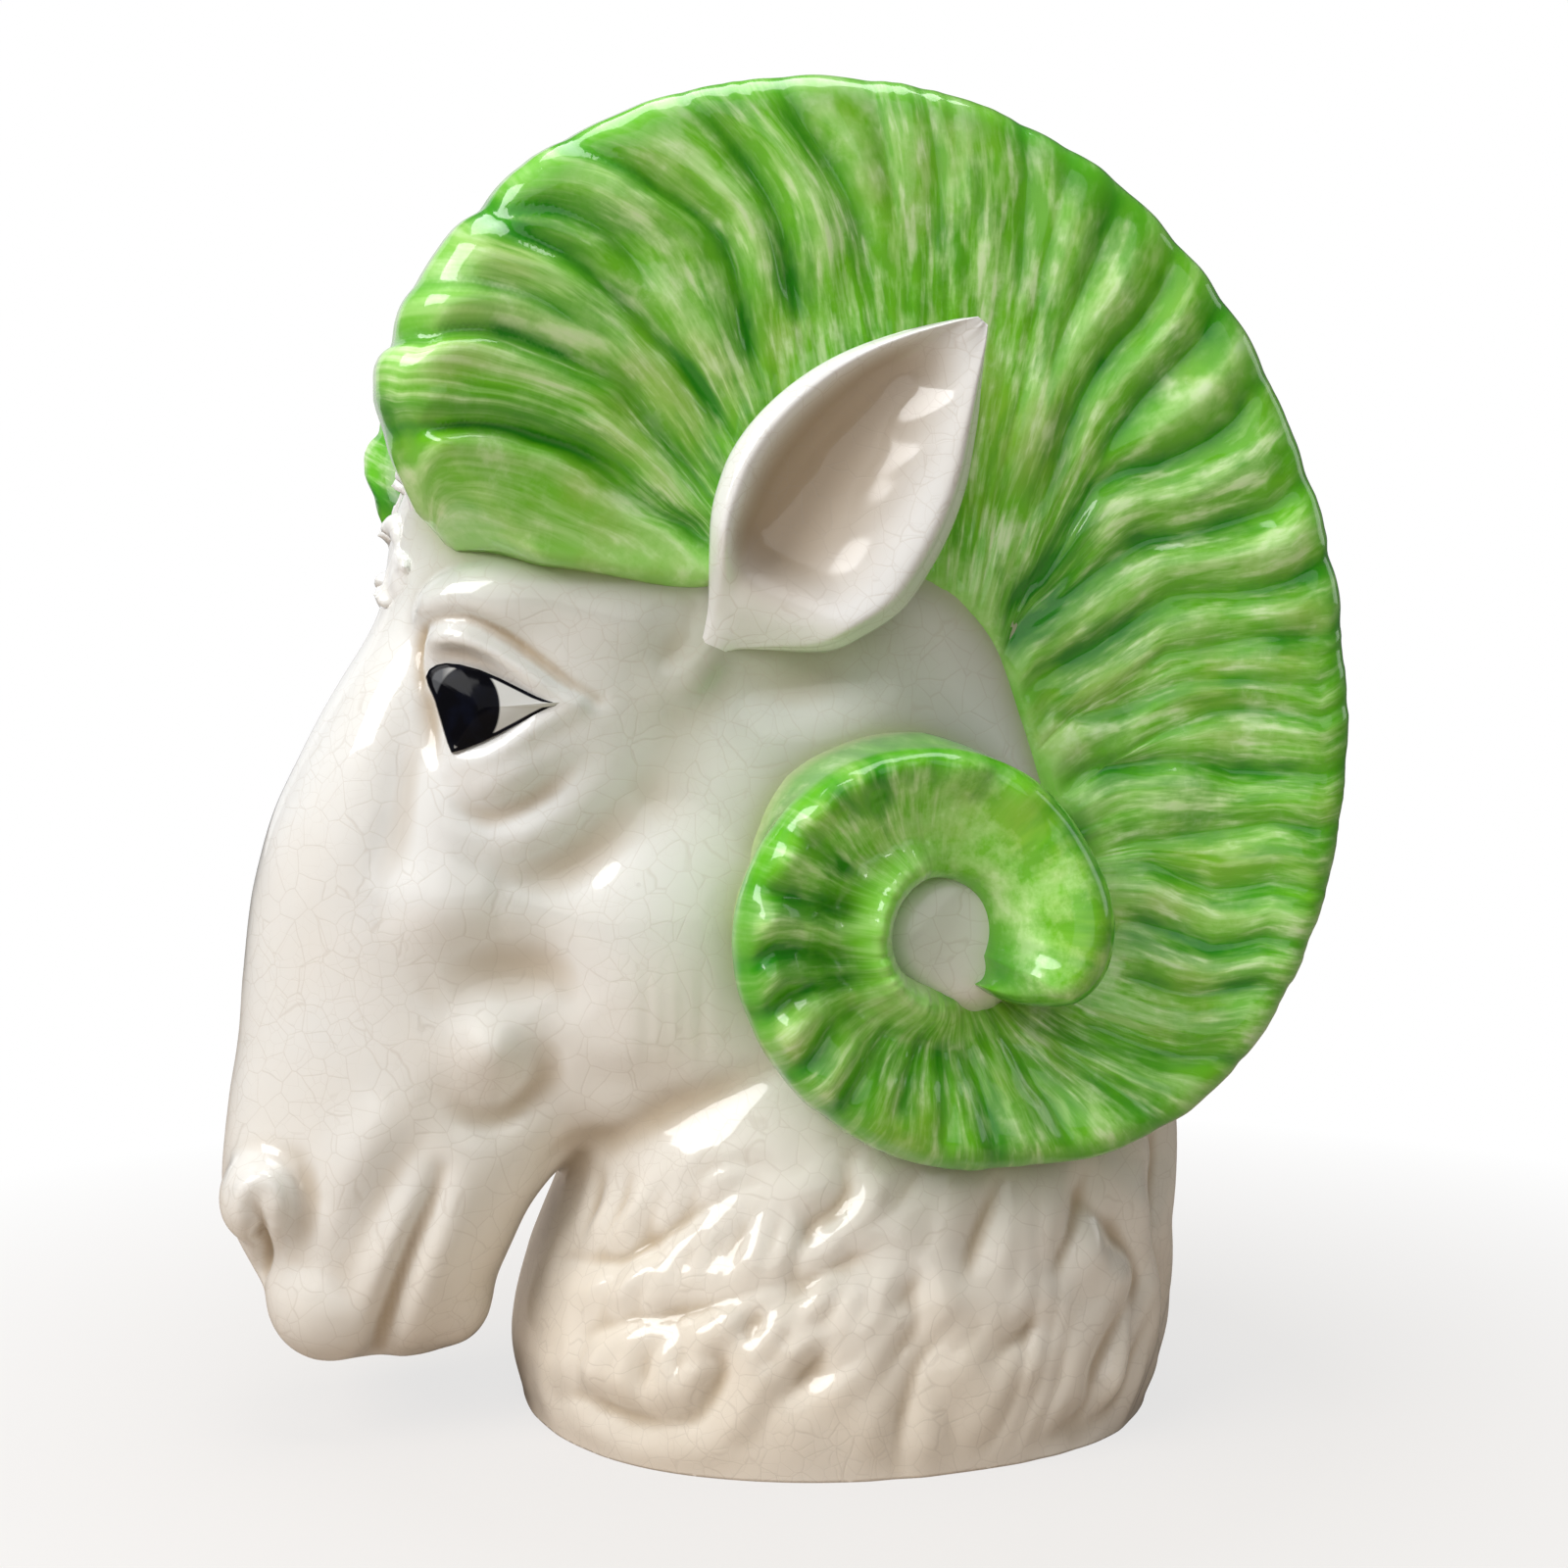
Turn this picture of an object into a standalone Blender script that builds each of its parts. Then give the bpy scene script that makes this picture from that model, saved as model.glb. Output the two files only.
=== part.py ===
"""Ram's-head ceramic planter: a hollow cast head and neck with horns, ears, eyes and forelock luted on.

Metres, +Z up. The ram faces -Y, its left side is +X, and the origin is the centre of the flat foot.
"""

import math
from collections import namedtuple

import bmesh
import bpy
import numpy as np
from mathutils import Matrix, Vector

# Casting

WALL = 0.0065
FACE_WALL = 0.0110
MUZZLE_FLOOR = 0.0165
FLOOR_THICKNESS = 0.0090
SEAM_GAP = 0.0003
OVERLAP = 0.0100

# Neck and skull: one tall oval column, from the foot to the rim of the planting mouth

Station = namedtuple("Station", "height front back half_width")

RIM_HEIGHT = 0.3060
CROWN_DROP = 0.0560
SHOULDER_DROP = 0.0210
FOOT_FRONT = -0.0850
FOOT_BACK = 0.0810
FOOT_HALF_WIDTH = 0.0780
COLUMN = [
    Station(0.000, FOOT_FRONT, FOOT_BACK, FOOT_HALF_WIDTH),
    Station(0.014, -0.0885, 0.0870, 0.0785),
    Station(0.032, -0.0855, 0.0890, 0.0765),
    Station(0.062, -0.0750, 0.0900, 0.0690),
    Station(0.100, -0.0730, 0.0950, 0.0610),
    Station(0.150, -0.0850, 0.1040, 0.0580),
    Station(0.200, -0.1000, 0.1055, 0.0590),
    Station(RIM_HEIGHT - CROWN_DROP, -0.1130, 0.0940, 0.0580),
    Station(RIM_HEIGHT - SHOULDER_DROP, -0.0990, 0.0760, 0.0540),
    Station(RIM_HEIGHT, -0.0840, 0.0570, 0.0500),
]
COLUMN_FULLNESS = 2.2

# Face: from the lips up to the forehead

LIP_HEIGHT = 0.0170
FACE = [
    Station(LIP_HEIGHT, -0.1370, -0.1060, 0.0150),
    Station(0.026, -0.1460, -0.0970, 0.0250),
    Station(0.040, -0.1545, -0.0905, 0.0310),
    Station(0.055, -0.1610, -0.0830, 0.0335),
    Station(0.068, -0.1615, -0.0720, 0.0345),
    Station(0.100, -0.1575, -0.0550, 0.0365),
    Station(0.125, -0.1555, -0.0450, 0.0395),
    Station(0.150, -0.1505, -0.0380, 0.0440),
    Station(0.180, -0.1370, -0.0300, 0.0490),
    Station(0.205, -0.1230, -0.0200, 0.0520),
    Station(0.230, -0.1190, -0.0100, 0.0510),
    Station(0.250, -0.1100, 0.0000, 0.0460),
]
FACE_FULLNESS = 2.3
FACE_TAPER = 0.22

# Lumps of the face: centre and radii on the left side

Lump = namedtuple("Lump", "centre radii")

BROW = Lump((0.0310, -0.0850, 0.2020), (0.0190, 0.0310, 0.0140))
JAW = Lump((0.0190, -0.0450, 0.1200), (0.0350, 0.0520, 0.0580))
CHEEK_KNOB = Lump((0.0250, -0.0940, 0.0900), (0.0120, 0.0120, 0.0130))
NOSTRIL_WING = Lump((0.0170, -0.1480, 0.0620), (0.0150, 0.0140, 0.0150))
UPPER_LIP = Lump((0.0110, -0.1340, 0.0350), (0.0190, 0.0170, 0.0180))
CHIN = Lump((0.0090, -0.1060, 0.0330), (0.0170, 0.0120, 0.0150))
EYE = Lump((0.0420, -0.1000, 0.1790), (0.0050, 0.0140, 0.0115))
NOSTRIL = Lump((0.0270, -0.1590, 0.0520), (0.0060, 0.0055, 0.0085))

# Folds of the face, as lines in the side plane (y, z): a width, how deep they go in, and the line.
# A depth below zero is a ridge.

Fold = namedtuple("Fold", "width depth line")

BROW_RIDGE = Fold(0.0090, -0.0030, [(-0.114, 0.203), (-0.089, 0.209), (-0.061, 0.196)])
EYE_SOCKET = Fold(0.0120, 0.0016, [(-0.112, 0.184), (-0.088, 0.178)])
EYE_BAG = Fold(0.0055, -0.0022, [(-0.103, 0.161), (-0.087, 0.168)])
UNDER_BAG = Fold(0.0045, 0.0027, [(-0.107, 0.160), (-0.095, 0.154), (-0.077, 0.166)])
NOSE_SIDE = Fold(0.0080, 0.0042, [(-0.115, 0.197), (-0.118, 0.163), (-0.122, 0.134)])
CHEEK_HOLLOW = Fold(0.0080, 0.0032, [(-0.098, 0.142), (-0.076, 0.144), (-0.063, 0.156)])
CHEEK_CREST = Fold(0.0100, -0.0030, [(-0.123, 0.130), (-0.096, 0.130)])
ABOVE_KNOB = Fold(0.0090, 0.0034, [(-0.109, 0.113), (-0.084, 0.115), (-0.075, 0.105)])
KNOB_CREST = Fold(0.0075, -0.0040, [(-0.097, 0.100), (-0.095, 0.097)])
BELOW_KNOB = Fold(0.0055, 0.0030, [(-0.108, 0.086), (-0.093, 0.081), (-0.085, 0.094)])
LIP_FOLD = Fold(0.0070, -0.0022, [(-0.119, 0.083), (-0.134, 0.059)])
LIP_HOLLOW = Fold(0.0060, 0.0018, [(-0.111, 0.079), (-0.127, 0.054), (-0.132, 0.040)])
UPPER_LIP_EDGE = Fold(0.0055, -0.0022, [(-0.114, 0.065), (-0.128, 0.026)])
LOWER_LIP_EDGE = Fold(0.0055, -0.0022, [(-0.104, 0.065), (-0.117, 0.023)])
JAW_LINE = Fold(0.0050, 0.0028, [(-0.082, 0.067), (-0.058, 0.080), (-0.029, 0.094)])
JAW_HOLLOW = Fold(0.0080, 0.0020, [(-0.079, 0.092), (-0.049, 0.091)])
EAR_STEM = Fold(0.0060, -0.0032, [(-0.045, 0.201), (-0.058, 0.184)])
UNDER_EAR = Fold(0.0080, 0.0026, [(-0.040, 0.186), (-0.010, 0.188)])
FACE_FOLDS = [
    BROW_RIDGE,
    EYE_SOCKET,
    EYE_BAG,
    UNDER_BAG,
    NOSE_SIDE,
    CHEEK_HOLLOW,
    CHEEK_CREST,
    ABOVE_KNOB,
    KNOB_CREST,
    BELOW_KNOB,
    LIP_FOLD,
    LIP_HOLLOW,
    UPPER_LIP_EDGE,
    LOWER_LIP_EDGE,
    JAW_LINE,
    JAW_HOLLOW,
    EAR_STEM,
    UNDER_EAR,
]

# Wool of the neck: valleys between the locks, seen from the side (y, z) and from behind (x, z)

LOCK_WIDTH = 0.0065
LOCK_DEPTH = 0.0028
LOCK_SWELL = 0.0015
LOCK_SPREAD = 1.4
SIDE_LOCKS = [
    [(-0.038, 0.066), (-0.060, 0.051), (-0.078, 0.043)],
    [(-0.031, 0.045), (-0.057, 0.036), (-0.075, 0.029)],
    [(-0.046, 0.023), (-0.064, 0.011), (-0.082, 0.010)],
    [(-0.020, 0.061), (-0.031, 0.044)],
    [(-0.011, 0.052), (-0.030, 0.040)],
    [(-0.016, 0.071), (-0.022, 0.056)],
    [(-0.003, 0.042), (-0.014, 0.020)],
    [(0.008, 0.035), (-0.006, 0.016), (-0.008, 0.004)],
    [(-0.023, 0.032), (-0.031, 0.021)],
    [(-0.037, 0.038), (-0.042, 0.031)],
    [(0.030, 0.033), (0.017, 0.026)],
    [(0.064, 0.037), (0.047, 0.019), (0.031, 0.004)],
    [(0.067, 0.029), (0.053, 0.008), (0.040, 0.004)],
    [(-0.057, 0.031), (-0.064, 0.016)],
    [(-0.049, 0.029), (-0.053, 0.015)],
    [(0.021, 0.064), (0.011, 0.045)],
    [(0.047, 0.064), (0.034, 0.043)],
]
BACK_LOCKS = [
    [(0.050, 0.090), (0.044, 0.066), (0.050, 0.044), (0.040, 0.018)],
    [(0.030, 0.098), (0.022, 0.074), (0.028, 0.048), (0.018, 0.022)],
    [(0.010, 0.104), (0.004, 0.080), (0.012, 0.056), (0.004, 0.030)],
    [(0.064, 0.060), (0.058, 0.040), (0.062, 0.022)],
]
DEEPEST_FOLD = 0.0042
FULL_FACING = 0.4

# Mouth slit: one groove from corner to corner, under the muzzle

MOUTH_CORNER = (-0.1060, 0.0620)
MOUTH_BOTTOM = (-0.1210, LIP_HEIGHT)
MOUTH_GROOVE_RADIUS = 0.0028

# Horns: a band that winds about the curl's eye, in the side plane

CURL_EYE = (0.0040, 0.1270)
HORN_START = 140.5
Turn = namedtuple("Turn", "angle inner outer")

HORN_TURNS = [
    Turn(HORN_START, 0.1420, 0.1540),
    Turn(138.7, 0.1350, 0.1680),
    Turn(136.5, 0.1240, 0.1785),
    Turn(126.0, 0.1000, 0.1940),
    Turn(112.0, 0.0900, 0.2025),
    Turn(95.0, 0.0840, 0.2020),
    Turn(78.0, 0.0730, 0.1910),
    Turn(62.0, 0.0560, 0.1695),
    Turn(45.0, 0.0460, 0.1452),
    Turn(29.0, 0.0430, 0.1258),
    Turn(0.0, 0.0395, 0.1018),
    Turn(-23.0, 0.0345, 0.0885),
    Turn(-41.0, 0.0240, 0.0770),
    Turn(-68.0, 0.0150, 0.0625),
    Turn(-112.0, 0.0138, 0.0530),
    Turn(-145.0, 0.0136, 0.0510),
    Turn(-180.0, 0.0132, 0.0512),
    Turn(-225.0, 0.0126, 0.0475),
    Turn(-268.0, 0.0120, 0.0425),
    Turn(-300.0, 0.0118, 0.0400),
    Turn(-330.0, 0.0118, 0.0395),
    Turn(-355.0, 0.0118, 0.0400),
    Turn(-375.0, 0.0120, 0.0390),
    Turn(-388.0, 0.0122, 0.0361),
    Turn(-407.0, 0.0128, 0.0280),
    Turn(-424.0, 0.0142, 0.0165),
]

# How far the band's face stands out sideways, at shares of its width from the inner edge to the outer

Stand = namedtuple("Stand", "angle inner lip dish middle shoulder outer")
Level = namedtuple("Level", "share stand")

STAND_SHARES = (0.0, 0.15, 0.35, 0.60, 0.85, 1.0)
HORN_STANDS = [
    Stand(HORN_START, 0.0590, 0.0600, 0.0640, 0.0695, 0.0735, 0.0740),
    Stand(60.0, 0.0590, 0.0600, 0.0640, 0.0695, 0.0735, 0.0740),
    Stand(0.0, 0.0595, 0.0605, 0.0645, 0.0695, 0.0740, 0.0745),
    Stand(-50.0, 0.0630, 0.0660, 0.0665, 0.0715, 0.0765, 0.0770),
    Stand(-90.0, 0.0740, 0.0790, 0.0705, 0.0770, 0.0800, 0.0790),
    Stand(-135.0, 0.0800, 0.0860, 0.0745, 0.0825, 0.0855, 0.0845),
    Stand(-180.0, 0.0830, 0.0885, 0.0775, 0.0850, 0.0890, 0.0885),
    Stand(-225.0, 0.0830, 0.0868, 0.0800, 0.0850, 0.0912, 0.0918),
    Stand(-268.0, 0.0795, 0.0812, 0.0830, 0.0865, 0.0925, 0.0935),
    Stand(-300.0, 0.0785, 0.0825, 0.0865, 0.0905, 0.0935, 0.0925),
    Stand(-330.0, 0.0785, 0.0850, 0.0915, 0.0960, 0.0960, 0.0910),
    Stand(-360.0, 0.0785, 0.0875, 0.0950, 0.0990, 0.0970, 0.0890),
    Stand(-390.0, 0.0790, 0.0875, 0.0945, 0.0980, 0.0955, 0.0880),
    Stand(-424.0, 0.0760, 0.0805, 0.0840, 0.0860, 0.0850, 0.0820),
]

# Where the band's back lies sideways, and how far its outer wall slopes in towards it

Back = namedtuple("Back", "angle place slope")

HORN_BACKS = [
    Back(HORN_START, 0.0220, 0.0120),
    Back(115.0, 0.0460, 0.0045),
    Back(75.0, 0.0460, 0.0045),
    Back(40.0, 0.0240, 0.0120),
    Back(-50.0, 0.0240, 0.0120),
    Back(-110.0, 0.0240, 0.0000),
    Back(-200.0, 0.0240, 0.0000),
    Back(-268.0, 0.0240, -0.0045),
    Back(-285.0, 0.0240, -0.0030),
    Back(-312.0, 0.0625, 0.0000),
    Back(-370.0, 0.0625, 0.0000),
    Back(-400.0, 0.0695, 0.0000),
    Back(-424.0, 0.0695, 0.0000),
]

# Valleys between the rolls of the horn: angles at the inner and the outer edge, and depth

Valley = namedtuple("Valley", "inner outer depth")

HORN_VALLEYS = [
    Valley(118.0, 138.0, 0.0034),
    Valley(115.0, 131.0, 0.0030),
    Valley(110.0, 122.0, 0.0030),
    Valley(107.0, 116.0, 0.0028),
    Valley(102.0, 107.0, 0.0026),
    Valley(93.0, 100.0, 0.0024),
    Valley(88.0, 92.0, 0.0012),
    Valley(82.0, 83.0, 0.0016),
    Valley(79.0, 77.0, 0.0016),
    Valley(76.0, 70.0, 0.0026),
    Valley(74.0, 64.0, 0.0024),
    Valley(72.0, 58.0, 0.0024),
    Valley(70.0, 49.0, 0.0024),
    Valley(64.0, 41.0, 0.0024),
    Valley(56.0, 35.0, 0.0020),
    Valley(50.0, 30.0, 0.0018),
    Valley(42.0, 25.0, 0.0018),
    Valley(36.0, 19.0, 0.0020),
    Valley(22.0, 13.0, 0.0015),
    Valley(14.0, 4.0, 0.0018),
    Valley(2.0, -4.0, 0.0020),
    Valley(-14.0, -11.0, 0.0016),
    Valley(-31.0, -24.0, 0.0018),
    Valley(-45.0, -41.0, 0.0016),
    Valley(-55.0, -58.0, 0.0017),
    Valley(-74.0, -76.0, 0.0017),
    Valley(-87.0, -90.0, 0.0018),
    Valley(-98.0, -105.0, 0.0020),
    Valley(-117.0, -124.0, 0.0024),
    Valley(-138.0, -140.0, 0.0030),
    Valley(-154.0, -158.0, 0.0032),
    Valley(-168.0, -173.0, 0.0032),
    Valley(-193.0, -194.0, 0.0032),
    Valley(-210.0, -211.0, 0.0018),
    Valley(-228.0, -228.0, 0.0022),
    Valley(-240.0, -242.0, 0.0020),
    Valley(-249.0, -252.0, 0.0016),
    Valley(-257.0, -261.0, 0.0012),
    Valley(-275.0, -282.0, 0.0014),
]
ROLL_STEPS = (0.0, 0.28, 0.50, 0.72)
ROLL_HEIGHTS = (-0.80, 0.15, 0.28, 0.15)
ROLL_STARTS = 0.12
ROLL_FADES = 0.80
ROLL_FADE = 0.75
EDGE_SCALLOP = 0.30
FOREHEAD_SCALLOP = 0.75

# Roundings of the band's edges and ends

CREST_FROM = 115.0
EDGE_ROUND = 0.0085
FOREHEAD_ROUND = 0.0220
TIP_ROUND = 0.0130
TIP_FROM = -290.0
TIP_TO = -330.0
INNER_ROUND = 0.0045
EDGE_BREAK = 0.3
START_ROUND = 0.0140
START_SHARE = 0.4
END_ROUND = 0.0120
END_SHARE = 0.3
TIP_RINGS = 20

# Ears

EAR_ROOT = Vector((0.0660, -0.0460, 0.1950))
EAR_LENGTH = 0.0960
EAR_HALF_WIDTH = 0.0255
EAR_RISE = 50.0
EAR_SPREAD = 11.0
EAR_BOWL = 0.0100
EAR_THICKNESS = 0.0060
EAR_RIM_SHARE = 0.5
EAR_ROOT_PHASE = 0.06
EAR_TIP_PHASE = 0.985
EAR_FULL_POWER = 0.8
EAR_ROWS = 12
EAR_COLUMNS = 6

# Forelock: curls in rows down the forehead, between the horns

FORELOCK_DROP = 0.0100
FORELOCK_TOP = RIM_HEIGHT - FORELOCK_DROP
FORELOCK_BOTTOM = 0.2110
FORELOCK_HALF_WIDTH = 0.0130
FORELOCK_PITCH = 0.0121
CURL_RADIUS = 0.0090
CURL_TALL = 1.12
CURL_SINK = 0.0050
FORELOCK_VOXEL = 0.0022
FORELOCK_KEEP = 0.12

# Glazes: colour, and roughness of the gloss

WHITE = (0.83, 0.80, 0.75)
GREEN = (0.18, 0.50, 0.09)
BLACK = (0.012, 0.012, 0.022)
GLOSS = 0.12
EYE_GLOSS = 0.06

# Mesh density

RING_POINTS = 32
BODY_VOXEL = 0.0030
BODY_KEEP = 0.100
HOLLOW_STEP = 0.0180
FORM_STEP = 0.0080
FACE_STEP = 0.0060
BODY_SMOOTHING = 5
FORELOCK_SMOOTHING = 1
SMOOTHING_SHARE = 0.5
GROOVE_STEPS = 8
GROOVE_SIDES = 8


# Curves through stations


def between(rows, at):
    """The row at a value of the first column, on a smooth curve through the rows."""
    keys = [row[0] for row in rows]
    rising = keys[-1] > keys[0]
    last = len(rows) - 2
    i = 0
    while i < last and (at > keys[i + 1] if rising else at < keys[i + 1]):
        i += 1
    span = keys[i + 1] - keys[i]
    t = (at - keys[i]) / span
    values = []
    for column in range(1, len(rows[0])):
        value = [row[column] for row in rows]
        start = slope(keys, value, i) * span
        end = slope(keys, value, i + 1) * span
        values.append(
            value[i] * (1 + 2 * t) * (1 - t) ** 2
            + start * t * (1 - t) ** 2
            + value[i + 1] * t * t * (3 - 2 * t)
            + end * t * t * (t - 1)
        )
    return type(rows[0])(at, *values)


def slope(keys, values, i):
    low = max(i - 1, 0)
    high = min(i + 1, len(keys) - 1)
    return (values[high] - values[low]) / (keys[high] - keys[low])


def smoothstep(t):
    t = min(max(t, 0.0), 1.0)
    return t * t * (3 - 2 * t)


# Meshes and objects


def oval(station, fullness, taper=0.0, inset=0.0):
    """A level ring, narrower at the front by the taper, starting at the front."""
    middle = (station.front + station.back) / 2
    half_length = (station.back - station.front) / 2 - inset
    half_width = station.half_width - inset
    ring = []
    for k in range(RING_POINTS):
        turn = 2 * math.pi * k / RING_POINTS
        across = math.copysign(abs(math.sin(turn)) ** (2 / fullness), math.sin(turn))
        along = math.copysign(abs(math.cos(turn)) ** (2 / fullness), math.cos(turn))
        x = half_width * across * (1 - taper * along)
        ring.append(Vector((x, middle - half_length * along, station.height)))
    return ring


def loft(rings):
    """A closed mesh through rings of equal length, its ends closed by fans about their middles."""
    mesh = bmesh.new()
    rows = [[mesh.verts.new(point) for point in ring] for ring in rings]
    for low, high in zip(rows, rows[1:]):
        for k in range(len(low)):
            j = (k + 1) % len(low)
            mesh.faces.new((low[k], low[j], high[j], high[k]))
    for row in (rows[0], rows[-1]):
        middle = mesh.verts.new(sum((vert.co for vert in row), Vector()) / len(row))
        for k in range(len(row)):
            mesh.faces.new((row[k], row[(k + 1) % len(row)], middle))
    bmesh.ops.recalc_face_normals(mesh, faces=mesh.faces)
    return mesh


def add_lump(mesh, lump, side=1, grow=0.0, subdivisions=3):
    """An ellipsoid added to a mesh, on the left (side 1) or the right (side -1)."""
    x, y, z = lump.centre
    place = Matrix.Translation((x * side, y, z))
    size = Matrix.Diagonal([radius + grow for radius in lump.radii] + [1.0])
    bmesh.ops.create_icosphere(mesh, subdivisions=subdivisions, radius=1.0, matrix=place @ size)
    return mesh


def glaze(name, colour, roughness):
    material = bpy.data.materials.new(name)
    material.use_nodes = True
    shader = material.node_tree.nodes["Principled BSDF"]
    shader.inputs["Base Color"].default_value = (*colour, 1.0)
    shader.inputs["Roughness"].default_value = roughness
    shader.inputs["Metallic"].default_value = 0.0
    return material


def piece(name, mesh, material):
    """A named object from a bmesh, shaded smooth."""
    data = bpy.data.meshes.new(name)
    bmesh.ops.recalc_face_normals(mesh, faces=mesh.faces)
    mesh.to_mesh(data)
    mesh.free()
    data.shade_smooth()
    data.materials.append(material)
    made = bpy.data.objects.new(name, data)
    bpy.context.scene.collection.objects.link(made)
    return made


def helper(name, mesh):
    """A cutter or form that isn't part of the object."""
    made = piece(name, mesh, None)
    made.hide_render = True
    made.display_type = "WIRE"
    return made


def shape_of(made):
    """The object's mesh with its modifiers worked out."""
    bpy.context.view_layer.update()
    graph = bpy.context.evaluated_depsgraph_get()
    mesh = bmesh.new()
    mesh.from_object(made, graph)
    return mesh


def cut(made, *cutters):
    for cutter in cutters:
        modifier = made.modifiers.new(cutter.name, "BOOLEAN")
        modifier.operation = "DIFFERENCE"
        modifier.solver = "EXACT"
        modifier.object = cutter


def grown(name, source, by):
    """A copy of a shape, pushed out along its normals."""
    made = helper(name, shape_of(source))
    displace = made.modifiers.new("clearance", "DISPLACE")
    displace.strength = by
    displace.mid_level = 0.0
    return made


# Body


def stack(stations, fullness, taper=0.0, inset=0.0, low=None, high=None, step=None):
    """Rings of a column of stations between two heights."""
    low = stations[0].height if low is None else low
    high = stations[-1].height if high is None else high
    count = max(2, round((high - low) / (step or FORM_STEP)))
    heights = [low + (high - low) * k / count for k in range(count + 1)]
    return [oval(between(stations, h), fullness, taper, inset) for h in heights]


def box(low, high):
    mesh = bmesh.new()
    size = Vector(high) - Vector(low)
    place = Matrix.Translation((Vector(low) + Vector(high)) / 2)
    bmesh.ops.create_cube(mesh, size=1.0, matrix=place @ Matrix.Diagonal((*size, 1.0)))
    return mesh


def joined(*meshes):
    """Several closed meshes in one, still overlapping."""
    whole = bmesh.new()
    for mesh in meshes:
        data = bpy.data.meshes.new("lump")
        mesh.to_mesh(data)
        mesh.free()
        whole.from_mesh(data)
        bpy.data.meshes.remove(data)
    return whole


def blended(name, mesh, voxel, smoothing):
    """A helper whose overlapping lumps are fused into one smooth skin."""
    form = helper(name, mesh)
    remesh = form.modifiers.new("fuse", "REMESH")
    remesh.mode = "VOXEL"
    remesh.voxel_size = voxel
    smooth = form.modifiers.new("smooth", "SMOOTH")
    smooth.factor = SMOOTHING_SHARE
    smooth.iterations = smoothing
    return form


def thin(form, keep):
    """Leaves a share of a form's faces."""
    modifier = form.modifiers.new("thin", "DECIMATE")
    modifier.ratio = keep
    return form


def off_line(points, line):
    """How far points of a plane lie from a line of straight pieces."""
    corners = np.array(line)
    nearest = np.full(len(points), np.inf)
    for start, end in zip(corners, corners[1:]):
        step = end - start
        share = np.clip((points - start) @ step / (step @ step), 0.0, 1.0)
        foot = start + share[:, None] * step
        nearest = np.minimum(nearest, np.linalg.norm(points - foot, axis=1))
    return nearest


def lock_relief(points, locks):
    """Valleys between locks of wool, with a swelling on either side."""
    relief = np.zeros(len(points))
    for line in locks:
        off = off_line(points, line) / LOCK_WIDTH
        relief += LOCK_SWELL * np.exp(-((off - LOCK_SPREAD) ** 2)) - LOCK_DEPTH * np.exp(-(off**2))
    return relief


def pressed(mesh):
    """A form with the folds of the face and the wool of the neck pressed into it, alike on both sides."""
    mesh.normal_update()
    places = np.array([vert.co for vert in mesh.verts])
    normals = np.array([vert.normal for vert in mesh.verts])
    places[:, 0] = np.abs(places[:, 0])
    side = np.clip(np.abs(normals[:, 0]) / FULL_FACING, 0.0, 1.0)
    behind = np.clip(normals[:, 1] / FULL_FACING, 0.0, 1.0)
    relief = side * lock_relief(places[:, 1:], SIDE_LOCKS) + behind * lock_relief(places[:, ::2], BACK_LOCKS)
    for fold in FACE_FOLDS:
        off = off_line(places[:, 1:], fold.line) / fold.width
        relief -= side * fold.depth * np.exp(-(off**2))
    relief = np.maximum(relief, -DEEPEST_FOLD)
    for vert, normal, move in zip(mesh.verts, normals, relief):
        vert.co += Vector(normal * move)
    return mesh


def body_form():
    """The outside of head and neck, solid, with a sharp foot."""
    foot = COLUMN[0]
    sunk = oval(foot._replace(height=-OVERLAP), COLUMN_FULLNESS)
    column = loft([sunk] + stack(COLUMN, COLUMN_FULLNESS))
    face = loft(stack(FACE, FACE_FULLNESS, FACE_TAPER, step=FACE_STEP))
    lumps = bmesh.new()
    for side in (1, -1):
        for lump in (BROW, JAW, CHEEK_KNOB, NOSTRIL_WING, UPPER_LIP, CHIN):
            add_lump(lumps, lump, side)
    smooth = blended("smooth_form", joined(column, face, lumps), BODY_VOXEL, BODY_SMOOTHING)
    form = thin(helper("body_form", pressed(shape_of(smooth))), BODY_KEEP)
    reach = 2 * FOOT_BACK
    ground = helper("ground", box((-reach, -reach, -reach), (reach, reach, 0.0)))
    cut(form, ground)
    return form


def face_half_width(y, z):
    """How far the face reaches sideways at a point of the side plane."""
    station = between(FACE, max(z, LIP_HEIGHT))
    middle = (station.front + station.back) / 2
    half_length = (station.back - station.front) / 2
    along = min(max((middle - y) / half_length, -1.0), 1.0)
    across = (1 - abs(along) ** FACE_FULLNESS) ** (1 / FACE_FULLNESS)
    return station.half_width * across * (1 - FACE_TAPER * along)


def mouth_groove():
    """A tube along the lips from one corner of the mouth to the other."""
    left = []
    for k in range(GROOVE_STEPS + 1):
        t = k / GROOVE_STEPS
        y = MOUTH_CORNER[0] + (MOUTH_BOTTOM[0] - MOUTH_CORNER[0]) * t
        z = MOUTH_CORNER[1] + (MOUTH_BOTTOM[1] - MOUTH_CORNER[1]) * t
        left.append(Vector((face_half_width(y, z), y, z)))
    right = [Vector((-p.x, p.y, p.z)) for p in reversed(left)]
    return tube(left + right, MOUTH_GROOVE_RADIUS, GROOVE_SIDES)


def tube(points, radius, sides):
    rings = []
    for k, point in enumerate(points):
        ahead = points[min(k + 1, len(points) - 1)] - points[max(k - 1, 0)]
        across = ahead.cross(Vector((0, 1, 0))).normalized()
        other = ahead.cross(across).normalized()
        turns = [2 * math.pi * j / sides for j in range(sides)]
        rings.append([point + radius * (math.cos(a) * across + math.sin(a) * other) for a in turns])
    return loft(rings)


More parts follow.
